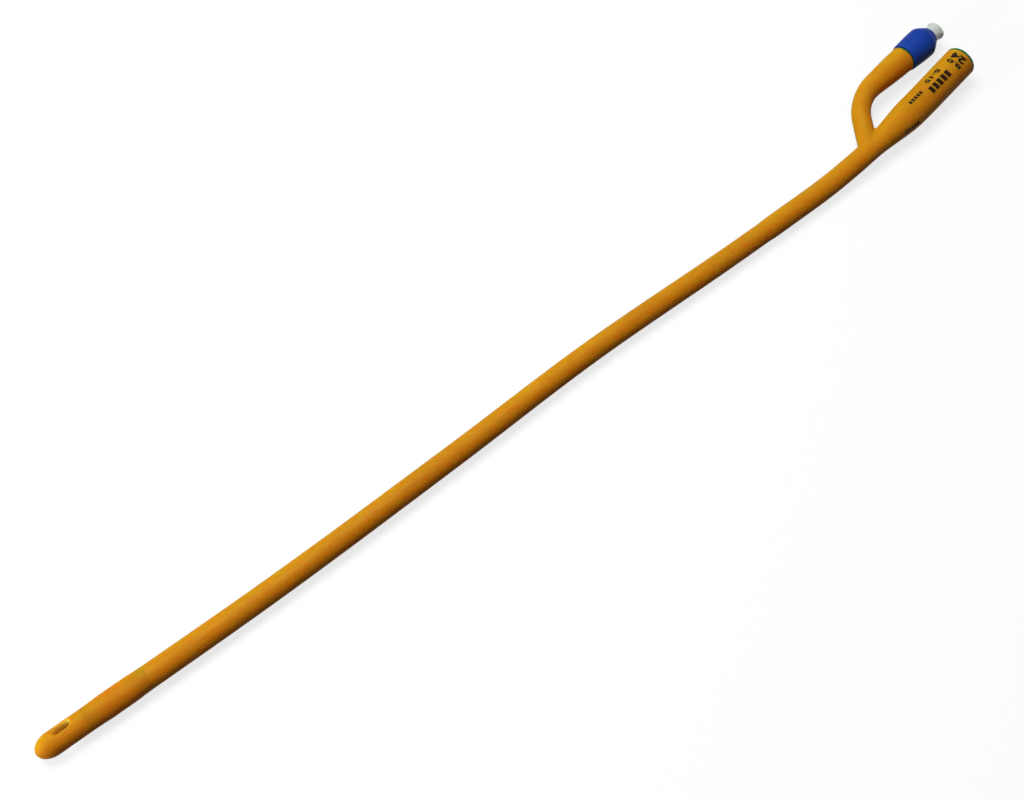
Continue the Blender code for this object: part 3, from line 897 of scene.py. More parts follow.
@dataclass
class LatexCatheter:
    """Shaft, drainage funnel and inflation arm, dipped as one piece."""

    body: str = "catheter"
    node: str = "catheter_body"
    tip_to_knee: float = 368.0
    knee_to_mouth: float = 56.08
    knee_angle: float = 9.72
    knee_reach: float = 34.5
    sway: tuple[tuple[float, float], ...] = (
        (0.0, 0.0), (0.24, -1.23), (0.45, -0.12), (0.62, 1.53), (0.80, 0.19), (0.90, 0.0),
        (1.0, 0.0))
    lift_start: float = 86.0
    lift_length: float = 42.0
    shaft_diameter: float = 8.4
    shaft_end_diameter: float = 7.8
    neck_diameter: float = 8.2
    neck_start: float = 114.0
    neck_step: float = 5.0
    nose_length: float = 6.0
    drainage_diameter: float = 4.4
    end_wall: float = 4.4
    mouth_diameter: float = 12.7
    mouth_bore_diameter: float = 9.5
    flare_start: float = 58.0
    flare_length: float = 26.0
    flare_share: float = 0.93
    rim_round: float = 0.25
    rim_slack: float = 1e-3
    # Widths of the painted edge shade: a dark band at the mouth's rim and one at the arm's end.
    shade_paint_band: float = 1.3
    seam_band: float = 0.9
    seam_reach: float = 0.5
    band_fade: float = 0.25
    inner_start: float = 0.15
    inner_fade: float = 0.6
    eye_start: float = 7.8
    eye_length: float = 6.3
    eye_width: float = 3.4
    eye_tilt: float = 58.0
    eye_round: float = 0.7
    balloon_start: float = 19.6
    balloon_length: float = 20.4
    balloon_recess: float = 0.4
    balloon_proud: float = 0.2
    balloon_settle: float = 60.0
    arm_root: float = 58.0
    arm_angle: float = 47.5
    arm_rise: float = 23.9
    arm_bend_radius: float = 20.5
    arm_end_angle: float = -4.1
    arm_run: float = 28.0
    arm_root_diameter: float = 7.5
    arm_end_diameter: float = 10.6
    arm_flare_start: float = 19.2
    arm_end_height: float = 6.35
    crotch_round: float = 1.2
    crease_round: float = 0.05
    spigot_diameter: float = 9.2
    spigot_length: float = 11.4
    spigot_root: float = 2.0
    socket_diameter: float = 6.8
    socket_floor: float = 3.0
    socket_round: float = 0.2
    edge_round: float = 0.5
    tip_step: float = 0.36
    seat_step: float = 0.6
    plain_step: float = 1.05
    fine_step: float = 0.46
    rim_step: float = 0.25
    rim_stretch: float = 1.37
    path_step: float = 0.1
    spare: float = 12.0
    arm_spare: float = 30.0
    body_rounds: int = 2
    arm_rounds: int = 4

    def __post_init__(self) -> None:
        """Works out the axes of the body and the arm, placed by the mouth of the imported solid."""
        solid = mesh_points(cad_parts[self.node].data) / MM
        funnel = solid[solid[:, 1] < solid[:, 1].min() + self.mouth_diameter]
        rim = funnel[funnel[:, 0] > funnel[:, 0].max() - self.rim_slack]
        self.mouth = (rim.min(axis=0) + rim.max(axis=0)) / 2
        bend = np.array((-self.knee_to_mouth, 0.0, 0.0))
        knee = Corner(bend, -self.knee_angle, 0.0, self.knee_reach)
        straight = self.tip_to_knee - self.knee_reach
        self.length = straight + knee.length + self.knee_to_mouth - self.knee_reach
        distance = np.arange(-self.spare, self.length + self.spare, self.path_step)
        self.route = Route(distance, self.body_points(distance, knee, straight))
        start = self.route.at(np.array(self.length - self.arm_root))
        self.branch_start = start[0] - 2 * self.arm_root_diameter
        half_turn = math.radians(self.arm_angle - self.arm_end_angle) / 2
        reach = self.arm_bend_radius * math.tan(half_turn)
        bend = start + level_heading(self.arm_angle) * self.arm_rise
        corner = Corner(bend, self.arm_angle, self.arm_end_angle, reach)
        self.arm_straight = self.arm_rise - reach
        self.arm_length = self.arm_straight + corner.length + self.arm_run - reach
        distance = np.arange(-END_ROOM, self.arm_length + self.arm_spare, self.path_step)
        self.arm = Route(distance, self.arm_points(distance, corner, start))

    def body_points(self, distance: Array, knee: Corner, straight: float) -> Array:
        """Points of the body's axis.

        The shaft is a straight line that strays to its left by the sway curve, the knee is an
        arc, and the funnel is straight. The height eases up from the shaft's to the mouth's.

        Args:
            distance: Distances from the tip.
            knee: The bend before the funnel.
            straight: Distance from the tip to the bend.

        Returns:
            One point for each distance.
        """
        ahead, left = level_heading(-self.knee_angle), level_heading(90.0 - self.knee_angle)
        run = np.minimum(distance, straight)
        stray = through_knots(self.sway, run / self.tip_to_knee)
        shaft = knee.place + ahead * (run - self.tip_to_knee)[:, None] + left * stray[:, None]
        points = np.where((distance <= straight)[:, None], shaft, knee.past(distance - straight))
        lift = ease((distance - (self.length - self.lift_start)) / self.lift_length)
        past_balloon = distance - self.balloon_start - self.balloon_length
        proud = self.balloon_proud * (1 - ease(past_balloon / self.balloon_settle))
        low = self.shaft_radius(distance) + proud
        points[:, 2] = low + (self.mouth_diameter / 2 - low) * lift
        end = np.array((0.0, 0.0, self.mouth_diameter / 2))
        return points + self.mouth - end

    def arm_points(self, distance: Array, corner: Corner, start: Array) -> Array:
        """Points of the arm's axis: a straight line, an arc and a straight line, rising gently.

        Args:
            distance: Distances from the body's axis.
            corner: The arm's bend.
            start: Where the arm's axis leaves the body's.

        Returns:
            One point for each distance.
        """
        line = start + level_heading(self.arm_angle) * distance[:, None]
        bent = corner.past(distance - self.arm_straight)
        points = np.where((distance <= self.arm_straight)[:, None], line, bent)
        end = self.arm_end_height + self.mouth[2] - self.mouth_diameter / 2
        rise = ease(distance / (self.arm_length - self.spigot_length))
        points[:, 2] = start[2] + (end - start[2]) * rise
        return points

    def flare(self, distance: Array) -> Array:
        """Share of the funnel's widening: eased up over the flare, then straight up to the mouth.

        Args:
            distance: Distances along the body's axis.

        Returns:
            A share from 0 to 1 for each.
        """
        from_mouth = self.length - distance
        flare_end = self.flare_start - self.flare_length
        eased = self.flare_share * ease((self.flare_start - from_mouth) / self.flare_length)
        return eased + (1 - self.flare_share) * np.maximum(flare_end - from_mouth, 0.0) / flare_end

    def shaft_radius(self, distance: Array) -> Array:
        """Radius of the plain shaft, which thins evenly from the tip to the neck."""
        thinned = np.clip(distance / (self.length - self.neck_start), 0.0, 1.0)
        return (self.shaft_diameter + (self.shaft_end_diameter - self.shaft_diameter) * thinned) / 2

    def radius(self, distance: Array) -> Array:
        """Outer radius behind the nose: the shaft's, a soft step up at the neck, then the flare.

        Args:
            distance: Distances along the body's axis.

        Returns:
            The radius at each.
        """
        shaft = self.shaft_radius(distance)
        neck = ease((distance - (self.length - self.neck_start)) / self.neck_step)
        shaft = shaft + (self.neck_diameter / 2 - shaft) * neck
        return shaft + (self.mouth_diameter - self.neck_diameter) / 2 * self.flare(distance)

    def bore(self, distance: Array) -> Array:
        """Radius of the drainage lumen and the funnel's bore."""
        widening = (self.mouth_bore_diameter - self.drainage_diameter) * self.flare(distance)
        return (self.drainage_diameter + widening) / 2

    def arm_radius(self, distance: Array) -> Array:
        """Outer radius of the arm, eased up towards the valve.

        Args:
            distance: Distances along the arm's axis.

        Returns:
            The radius at each.
        """
        share = ease((distance - self.arm_flare_start) / (self.arm_length - self.arm_flare_start))
        widening = (self.arm_end_diameter - self.arm_root_diameter) * share
        return (self.arm_root_diameter + widening) / 2

    def outer_field(self, places: Array, distance: Array, gap: Array) -> Array:
        """Distance outside the outer skin, negative inside.

        The shaft is the gap to its axis less its radius. Over the nose the gap and the distance
        left before the nose's base make an ellipsoid. The balloon's seat is a shallow groove.
        The arm is joined with a rounded crease, and its spigot stands on its end.

        Args:
            places: Points in space.
            distance: Their distances along the body's axis.
            gap: Their gaps to the body's axis.

        Returns:
            The field's value at each place.
        """
        radius = self.radius(distance)
        left = np.maximum((self.nose_length - distance) / self.nose_length, 0.0)
        tube = (np.sqrt(left ** 2 + (gap / radius) ** 2) - 1.0) * radius
        past_start = distance - self.balloon_start
        into = np.minimum(past_start, self.balloon_length - past_start)
        groove = self.balloon_recess * ease(into / self.fine_step + 0.5)
        tube = smooth_max(tube + groove, distance - self.length, self.rim_round)
        if places[..., 0].max() < self.branch_start:
            return tube
        along, off = self.arm.nearest(places, self.arm_rounds)
        arm = smooth_max(off - self.arm_radius(along), along - self.arm_length, self.edge_round)
        out = along - self.arm_length
        end = np.maximum(out - self.spigot_length, -self.spigot_root - out)
        spigot = smooth_max(off - self.spigot_diameter / 2, end, self.edge_round)
        socket = np.maximum(off - self.socket_diameter / 2, self.socket_floor - out)
        branch = smooth_max(np.minimum(arm, spigot), -socket, self.socket_round)
        crease = self.crotch_round * ease(along / self.arm_root_diameter) + self.crease_round
        return smooth_min(tube, branch, crease)

    def hollow_field(self, places: Array, distance: Array, gap: Array) -> Array:
        """Distance outside the lumen and the eyes, negative inside them.

        The lumen is the gap less the bore, with a domed end. The eyes are one bar through the tip,
        whose section is a rectangle with round ends.

        Args:
            places: Points in space.
            distance: Their distances along the body's axis.
            gap: Their gaps to the body's axis.

        Returns:
            The field's value at each place.
        """
        bore = self.bore(distance)
        dome_end = self.end_wall + self.drainage_diameter / 2
        short = np.maximum(dome_end - distance, 0.0)
        lumen = np.sqrt(gap ** 2 + short ** 2) - bore
        middle = np.array(self.eye_start + self.eye_length / 2)
        point, side, upright = self.route.square(middle)
        tilt = math.radians(self.eye_tilt)
        across = upright * math.cos(tilt) - side * math.sin(tilt)
        offset = places - point
        half = self.eye_width / 2
        lengthwise = np.abs(offset @ self.route.along(middle))
        reach = np.maximum(lengthwise - (self.eye_length / 2 - half), 0.0)
        eyes = np.sqrt(reach ** 2 + (offset @ across) ** 2) - half
        return smooth_min(lumen, eyes, self.edge_round)

    def field(self, places: Array) -> Array:
        """Distance outside the latex: the outer skin's field, less what the hollows take away.

        Args:
            places: Points in space.

        Returns:
            The field's value at each place, negative inside the latex.
        """
        distance, gap = self.route.nearest(places, self.body_rounds)
        outer = self.outer_field(places, distance, gap)
        return smooth_max(outer, -self.hollow_field(places, distance, gap), self.eye_round)

    def lines(self) -> tuple[Array, Array, Array]:
        """Corners of the boxes: fine at the tip and the funnel, coarse on the shaft.

        Room of a millimetre or more is left round the latex on every side.

        Returns:
            Places along each axis of the frame.
        """
        tip = self.route.at(np.array(0.0))
        start = tip[0] - 1.5
        tip_end = start + self.balloon_start + 1.5
        seat_end = tip_end + self.balloon_length + 1.0
        branch = self.branch_start + 2.0
        rim = self.mouth[0] - self.rim_stretch
        stretches = ((start, tip_end, self.tip_step), (tip_end, seat_end, self.seat_step),
                     (seat_end, branch, self.plain_step), (branch, rim, self.fine_step),
                     (rim, self.mouth[0] + 3.0, self.rim_step))
        xs = np.concatenate([np.linspace(low, high, round((high - low) / step), endpoint=False)
                             for low, high, step in stretches])
        right = self.mouth[1] - self.mouth_diameter / 2 - 1.3
        ys = np.arange(right, tip[1] + self.shaft_diameter / 2 + 1.5, self.fine_step)
        zs = np.arange(-0.6, self.mouth_diameter + 1.3, self.fine_step)
        return xs, ys, zs

    def build(self) -> Piece:
        """Draws the skin, marks its inner walls for painted light and its ends for painted edge
        shade, and dresses it.

        Returns:
            The finished piece.
        """
        skin = SkinNet(self.field, self.lines()).skin()
        distance, gap = self.route.nearest(skin.points, self.body_rounds)
        outer = self.outer_field(skin.points, distance, gap)
        # Marks the inner walls, which are painted bright as if lit through the thin latex.
        skin.values["inner_wall_glow_paint"] = ease((-outer - self.inner_start) / self.inner_fade)
        # Painted edge shade: marks a band at the arm's end, by the sleeve, and one at the mouth's
        # rim.
        along, off = self.arm.nearest(skin.points, self.arm_rounds)
        seam = ease((along - self.arm_length + self.seam_band) / self.band_fade)
        seam *= off < self.arm_end_diameter / 2 + self.seam_reach
        mouth = ease((distance - self.length + self.shade_paint_band) / self.band_fade)
        skin.values["shade_paint_edge"] = np.maximum(mouth, seam)
        return finished(solid_piece("latex_body", skin), self.body, [self.node], LatexFinish())


@dataclass
class BalloonSkin:
    """The thin latex sleeve in its seat behind the drainage eyes.

    So thin a skin lets much of the red light through, so its own tones are redder than those
    of the thick latex, and the two look alike.
    """

    catheter: LatexCatheter
    # Its tones are redder than the body's, the painted shade on the side away from the key lamp
    # among them.
    finish: LatexFinish = LatexFinish(
        name="balloon_latex", amber=(0.68, 0.250, 0.0022), deep=(0.60, 0.195, 0.0018),
        speck=(0.64, 0.215, 0.006), painted_shade=(0.67, 0.155, 0.0016))
    lap: float = 1.8
    wall: float = 0.36
    feather: float = 6.5
    above: float = 0.02
    sunk: float = 0.10
    sinking: float = 2.0
    sides: int = 96
    step: float = 0.35

    def outline(self) -> tuple[Array, Array]:
        """Distances and radii of the sleeve's section.

        Outside, the radius eases up from the shaft's to the full one over the feathered length
        at each end, and the ends dip below the shaft's skin along a parabola, so that no edge
        shows. Inside it is level, but for the thin ends.

        Returns:
            The distances and the radii, as a closed loop.
        """
        shape = self.catheter
        start = shape.balloon_start - self.lap
        end = shape.balloon_start + shape.balloon_length + self.lap
        distance = np.linspace(start, end, round((end - start) / self.step))
        into = np.minimum(distance - start, end - distance)
        lift = shape.balloon_proud * ease((into - self.lap) / self.feather)
        dip = self.sunk * np.maximum(1 - into / self.sinking, 0.0) ** 2
        outside = shape.radius(distance) + self.above + lift - dip
        inside = shape.radius(distance) - self.wall
        inside[[0, -1]] = outside[[0, -1]] - self.above
        there_and_back = np.concatenate([distance, distance[::-1]])
        return there_and_back, np.concatenate([outside, inside[::-1]])

    def build(self) -> Piece:
        """Carries the section round the shaft's axis and dresses it.

        Returns:
            The finished piece.
        """
        distance, radius = self.outline()
        points = self.catheter.route.ring(distance, radius, full_turn(self.sides)).reshape(-1, 3)
        unmarked = np.zeros(len(points))
        skin = Skin(points, grid_faces(len(distance), self.sides, True, True),
                    {"inner_wall_glow_paint": unmarked, "shade_paint_edge": unmarked})
        piece = solid_piece("balloon_skin", skin)
        return finished(piece, self.catheter.body, ["balloon_sleeve"], self.finish)


# The inflation valve


@dataclass
class InflationValve:
    """The coloured sleeve on the arm's end, the valve's housing, and the parts inside it."""

    catheter: LatexCatheter
    moving_body: str = "plunger"
    joint: str = "plunger_press"
    travel: float = 2.0
    sides: int = 128
    fit: float = 0.3
    small_fit: float = 0.2
    running_fit: float = 0.25
    edge: float = 0.25
    fine_edge: float = 0.12
    sleeve_start_diameter: float = 11.4
    sleeve_shoulder_diameter: float = 12.7
    sleeve_shoulder: float = 11.3
    sleeve_length: float = 15.6
    sleeve_lip: float = 0.2
    sleeve_crown: float = 1.15
    swell_steps: int = 16
    dome_steps: int = 8
    shoulder_round: float = 0.6
    tail_wall: float = 0.7
    barb_height: float = 0.15
    barb_length: float = 2.0
    barb_count: int = 3
    barb_back: float = 0.1
    barb_round: float = 0.05
    tail_lip: float = 0.4
    flange_thickness: float = 1.4
    hub_diameter: float = 6.8
    hub_end: float = 20.2
    lug_height: float = 0.35
    lug_length: float = 1.1
    lug_half_angle: float = 38.0
    lug_fade: float = 6.0
    lug_before: float = 0.4
    lug_after: float = 0.5
    lug_steps: int = 8
    luer_diameter: float = 4.3
    luer_taper: float = 0.06
    luer_depth: float = 7.0
    seat_diameter: float = 3.0
    seat_thickness: float = 0.7
    stem_diameter: float = 2.0
    stem_depth: float = 4.6
    head_thickness: float = 1.0
    guide_diameter: float = 1.6
    seal_thickness: float = 0.6
    stop_gap: float = 0.5
    spring_wire: float = 0.4
    spring_turns: float = 5.0
    spring_flat: float = 0.6
    turn_steps: int = 56
    wire_sides: int = 16
    retainer_thickness: float = 1.0
    retainer_hole: float = 1.8

    def __post_init__(self) -> None:
        """Works out where the valve's faces lie along its axis, and its place in the frame."""
        shape = self.catheter
        self.origin = shape.arm.at(np.array(shape.arm_length))
        self.ahead = level_heading(shape.arm_end_angle)
        self.left = level_heading(shape.arm_end_angle + 90.0)
        self.chamber = (self.luer_diameter - self.luer_taper * self.luer_depth) / 2 + self.fit
        self.tail_end = shape.socket_floor + self.fit
        self.seat_face = self.hub_end - self.luer_depth - self.seat_thickness
        self.head_face = self.seat_face - self.seal_thickness - 2 * self.small_fit
        self.retainer_start = self.tail_end + self.tail_lip + self.small_fit
        self.retainer_face = self.retainer_start + self.retainer_thickness
        self.flange = shape.spigot_length + self.small_fit

    def placed(self, length: Array, across: Array, height: Array) -> Array:
        """Points of the frame from the valve's own directions.

        Args:
            length: Lengths along the valve's axis.
            across: Lengths to its left.
            height: Lengths upwards.

        Returns:
            One point for each.
        """
        axes = np.stack([self.ahead, self.left, (0.0, 0.0, 1.0)])
        return self.origin + np.stack([length, across, height], axis=-1) @ axes

    def turned(self, outline: Array, bulge: Callable[[Array, Array], Array] | None = None) -> Skin:
        """Turns a closed outline about the valve's axis.

        Args:
            outline: Pairs of length and radius.
            bulge: Height to add on the hub, from the lengths and angles of the points.

        Returns:
            The surface.
        """
        length, angle = np.meshgrid(outline[:, 0], full_turn(self.sides), indexing="ij")
        radius = np.broadcast_to(outline[:, 1:], length.shape)
        if bulge is not None:
            radius = radius + bulge(length, angle) * (radius > self.hub_diameter / 2 - self.edge)
        points = self.placed(length, radius * np.cos(angle), radius * np.sin(angle))
        return Skin(points.reshape(-1, 3), grid_faces(len(outline), self.sides, True, True))

    def washer(self, start: float, end: float, inner: float, outer: float) -> Corners:
        """Outline of a flat ring.

        Args:
            start: Length at which it starts.
            end: Length at which it ends.
            inner: Radius of its hole.
            outer: Its outer radius.

        Returns:
            Its corners, finely rounded.
        """
        fine = self.fine_edge
        return [(start, inner, fine), (start, outer, fine), (end, outer, fine), (end, inner, fine)]

    def lugs(self, length: Array, angle: Array) -> Array:
        """Height of the two lugs: eased up at their near edge and at both ends round the hub.

        Args:
            length: Lengths along the valve's axis.
            angle: Angles round it.

        Returns:
            The height at each point.
        """
        away = np.abs(np.degrees(np.arcsin(np.sin(angle))))
        near = self.hub_end - self.lug_length - self.lug_height / 2
        rise = ease((length - near) / self.lug_height)
        left = self.lug_half_angle + self.lug_fade / 2 - away
        return self.lug_height * rise * ease(left / self.lug_fade)

    def build_sleeve(self) -> Piece:
        """The coloured sleeve: it swells along a quarter sine to its shoulder, then is a dome.

        Returns:
            The finished piece.
        """
        start, first = self.small_fit, self.sleeve_start_diameter / 2
        wide, shoulder = self.sleeve_shoulder_diameter / 2, self.sleeve_shoulder
        inner = self.catheter.spigot_diameter / 2 + self.fit
        lip_inner = self.hub_diameter / 2 + self.fit
        lip, dome_length = lip_inner + self.sleeve_lip, self.sleeve_length - shoulder
        flange_end = self.flange + self.flange_thickness + self.small_fit
        fine = self.fine_edge
        swell = np.linspace(start + 2 * self.edge, shoulder - self.shoulder_round, self.swell_steps)
        swell_radius = first + (wide - first) * np.sin(math.pi / 2 * swell / shoulder)
        dome = np.linspace(self.shoulder_round, dome_length - 2 * self.edge, self.dome_steps)
        dome_radius = wide + (lip - wide) * (dome / dome_length) ** self.sleeve_crown
        corners = [(start, first, self.edge),
                   *((length, radius, 0.0) for length, radius in zip(swell, swell_radius)),
                   (shoulder, wide, self.shoulder_round),
                   *((shoulder + length, radius, 0.0) for length, radius in zip(dome, dome_radius)),
                   (self.sleeve_length, lip, self.edge), (self.sleeve_length, lip_inner, fine),
                   (flange_end, lip_inner, fine), (flange_end, inner, fine), (start, inner, fine)]
        piece = solid_piece("valve_sleeve_shell", self.turned(rounded(corners, 8)))
        finish = RubberFinish("blue_rubber", (0.0055, 0.034, 0.255), (0.010, 0.050, 0.31))
        return finished(piece, self.catheter.body, ["valve_sleeve"], finish)

    def build_housing(self) -> Piece:
        """The milky housing: a barbed tail, a flange, and a hub with two lugs and the luer socket.

        Returns:
            The finished piece.
        """
        tail, chamber, start = self.chamber + self.tail_wall, self.chamber, self.tail_end
        hub, mouth, seat = self.hub_diameter / 2, self.luer_diameter / 2, self.seat_diameter / 2
        fine, edge, lip = self.fine_edge, self.edge, self.tail_lip
        corners = [(start, tail, edge)]
        for i in range(self.barb_count):
            barb = start + (i + 0.5) * self.barb_length
            corners += [(barb, tail + self.barb_height, self.barb_round),
                        (barb + self.barb_back, tail, self.barb_round),
                        (barb + self.barb_length / 4, tail, 2 * self.barb_round)]
        wide, flange = self.catheter.spigot_diameter / 2, self.flange
        flange_end = flange + self.flange_thickness
        lug = self.hub_end - self.lug_length
        lug_rows = np.linspace(lug - self.lug_before, lug + self.lug_after, self.lug_steps)
        floor = self.hub_end - self.luer_depth
        luer_floor = mouth - self.luer_taper * self.luer_depth / 2
        corners += [(flange, tail, fine), (flange, wide, edge), (flange_end, wide, edge),
                    (flange_end, hub, fine),
                    *((length, hub, 0.0) for length in lug_rows),
                    (self.hub_end, hub, edge), (self.hub_end, mouth, edge),
                    (floor, luer_floor, fine), (floor, seat, fine),
                    (self.seat_face, seat, fine), (self.seat_face, chamber, fine),
                    (start + lip, chamber, fine), (start + lip, chamber - lip, fine),
                    (start, chamber - lip, fine)]
        piece = solid_piece("valve_housing_shell", self.turned(rounded(corners), self.lugs))
        finish = PlasticFinish("clear_white_plastic", (0.60, 0.645, 0.60), (0.52, 0.57, 0.53), 1.2)
        return finished(piece, self.catheter.body, ["valve_housing"], finish)

    def build_plunger(self) -> Piece:
        """The plunger that a syringe presses in: guide pin, head and stem, turned from the axis.

        Returns:
            The finished piece.
        """
        head, stem = self.chamber - self.running_fit, self.stem_diameter / 2
        guide, fine = self.guide_diameter / 2, self.fine_edge
        face, back = self.head_face, self.head_face - self.head_thickness
        tip = self.retainer_face + self.stop_gap + self.travel
        end = self.hub_end - self.stem_depth
        corners = [(tip, 0.0, 0.0), (tip, guide, self.edge), (back, guide, fine),
                   (back, head, fine), (face, head, fine), (face, stem, fine),
                   (end, stem, self.edge), (end, 0.0, 0.0)]
        piece = solid_piece("plunger_stem", self.turned(rounded(corners)), weld=True)
        finish = PlasticFinish("white_acetal", (0.80, 0.80, 0.77), (0.74, 0.74, 0.71), 0.5)
        return finished(piece, self.moving_body, ["valve_plunger"], finish)

    def build_seal(self) -> Piece:
        """The rubber washer that rides on the plunger's stem.

        Returns:
            The finished piece.
        """
        start = self.head_face + self.small_fit
        inner, outer = self.stem_diameter / 2 + self.small_fit, self.chamber - self.running_fit
        corners = self.washer(start, start + self.seal_thickness, inner, outer)
        piece = solid_piece("seal_washer", self.turned(rounded(corners)))
        finish = RubberFinish("black_seal_rubber", (0.018, 0.018, 0.019), (0.045, 0.045, 0.047))
        return finished(piece, self.moving_body, ["valve_seal"], finish)

    def build_retainer(self) -> Piece:
        """The ring that holds the spring in the housing's tail.

        Returns:
            The finished piece.
        """
        inner, outer = self.retainer_hole / 2, self.chamber - self.small_fit
        corners = self.washer(self.retainer_start, self.retainer_face, inner, outer)
        piece = solid_piece("retainer_ring", self.turned(rounded(corners)))
        finish = PlasticFinish("white_acetal_ring", (0.78, 0.78, 0.75), (0.72, 0.72, 0.69), 0.5)
        return finished(piece, self.catheter.body, ["valve_retainer"], finish)

    def build_spring(self) -> Piece:
        """The coil spring, built at rest between the retainer ring and the plunger's head.

        The wire's middle turns evenly about the axis. It climbs evenly too, but for a part of a
        turn at each end, where it lies flat. A small circle is carried along it and closed.

        Returns:
            The finished piece.
        """
        wire = self.spring_wire / 2
        low = self.retainer_face + self.small_fit
        high = self.head_face - self.head_thickness - self.small_fit
        turn = np.linspace(0.0, self.spring_turns, round(self.spring_turns * self.turn_steps))
        climbing = self.spring_turns - 2 * self.spring_flat
        climb = np.clip((turn - self.spring_flat) / climbing, 0.0, 1.0)
        length = low + wire + (high - low - 2 * wire) * climb
        coil = self.chamber - self.small_fit - wire
        circle = full_turn(self.wire_sides)
        thick = np.full((len(turn), 1), wire)
        thick[[0, -1]] = 0.0
        out = coil + thick * np.cos(circle)
        forward = length[:, None] + thick * np.sin(circle)
        angle = 2 * math.pi * turn[:, None]
        points = self.placed(forward, out * np.cos(angle), out * np.sin(angle))
        points = points[[0, 1, *range(1, len(turn) - 1), -2, -1]]
        skin = Skin(points.reshape(-1, 3), grid_faces(len(points), len(circle), False, True))
        piece = solid_piece("return_spring", skin, weld=True)
        finished(piece, self.catheter.body, ["valve_spring"], SteelFinish())
        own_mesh(piece)
        return piece

    def build(self) -> list[Piece]:
        """Builds the valve from the outside in."""
        return [self.build_sleeve(), self.build_housing(), self.build_plunger(), self.build_seal(),
                self.build_spring(), self.build_retainer()]


# Marks on the funnel


class Reading(Enum):
    """The way in which a mark reads on the funnel."""

    ROUND = "round the funnel, tops towards the tip"
    ALONG = "along the funnel, towards the tip"


@dataclass(frozen=True)
class Mark:
    """One printed mark: plain digits, or a row of bars where there are none."""

    from_mouth: float
    turn: float
    height: float
    reading: Reading
    digits: str = ""
    bars: int = 0
    width: float = 0.0


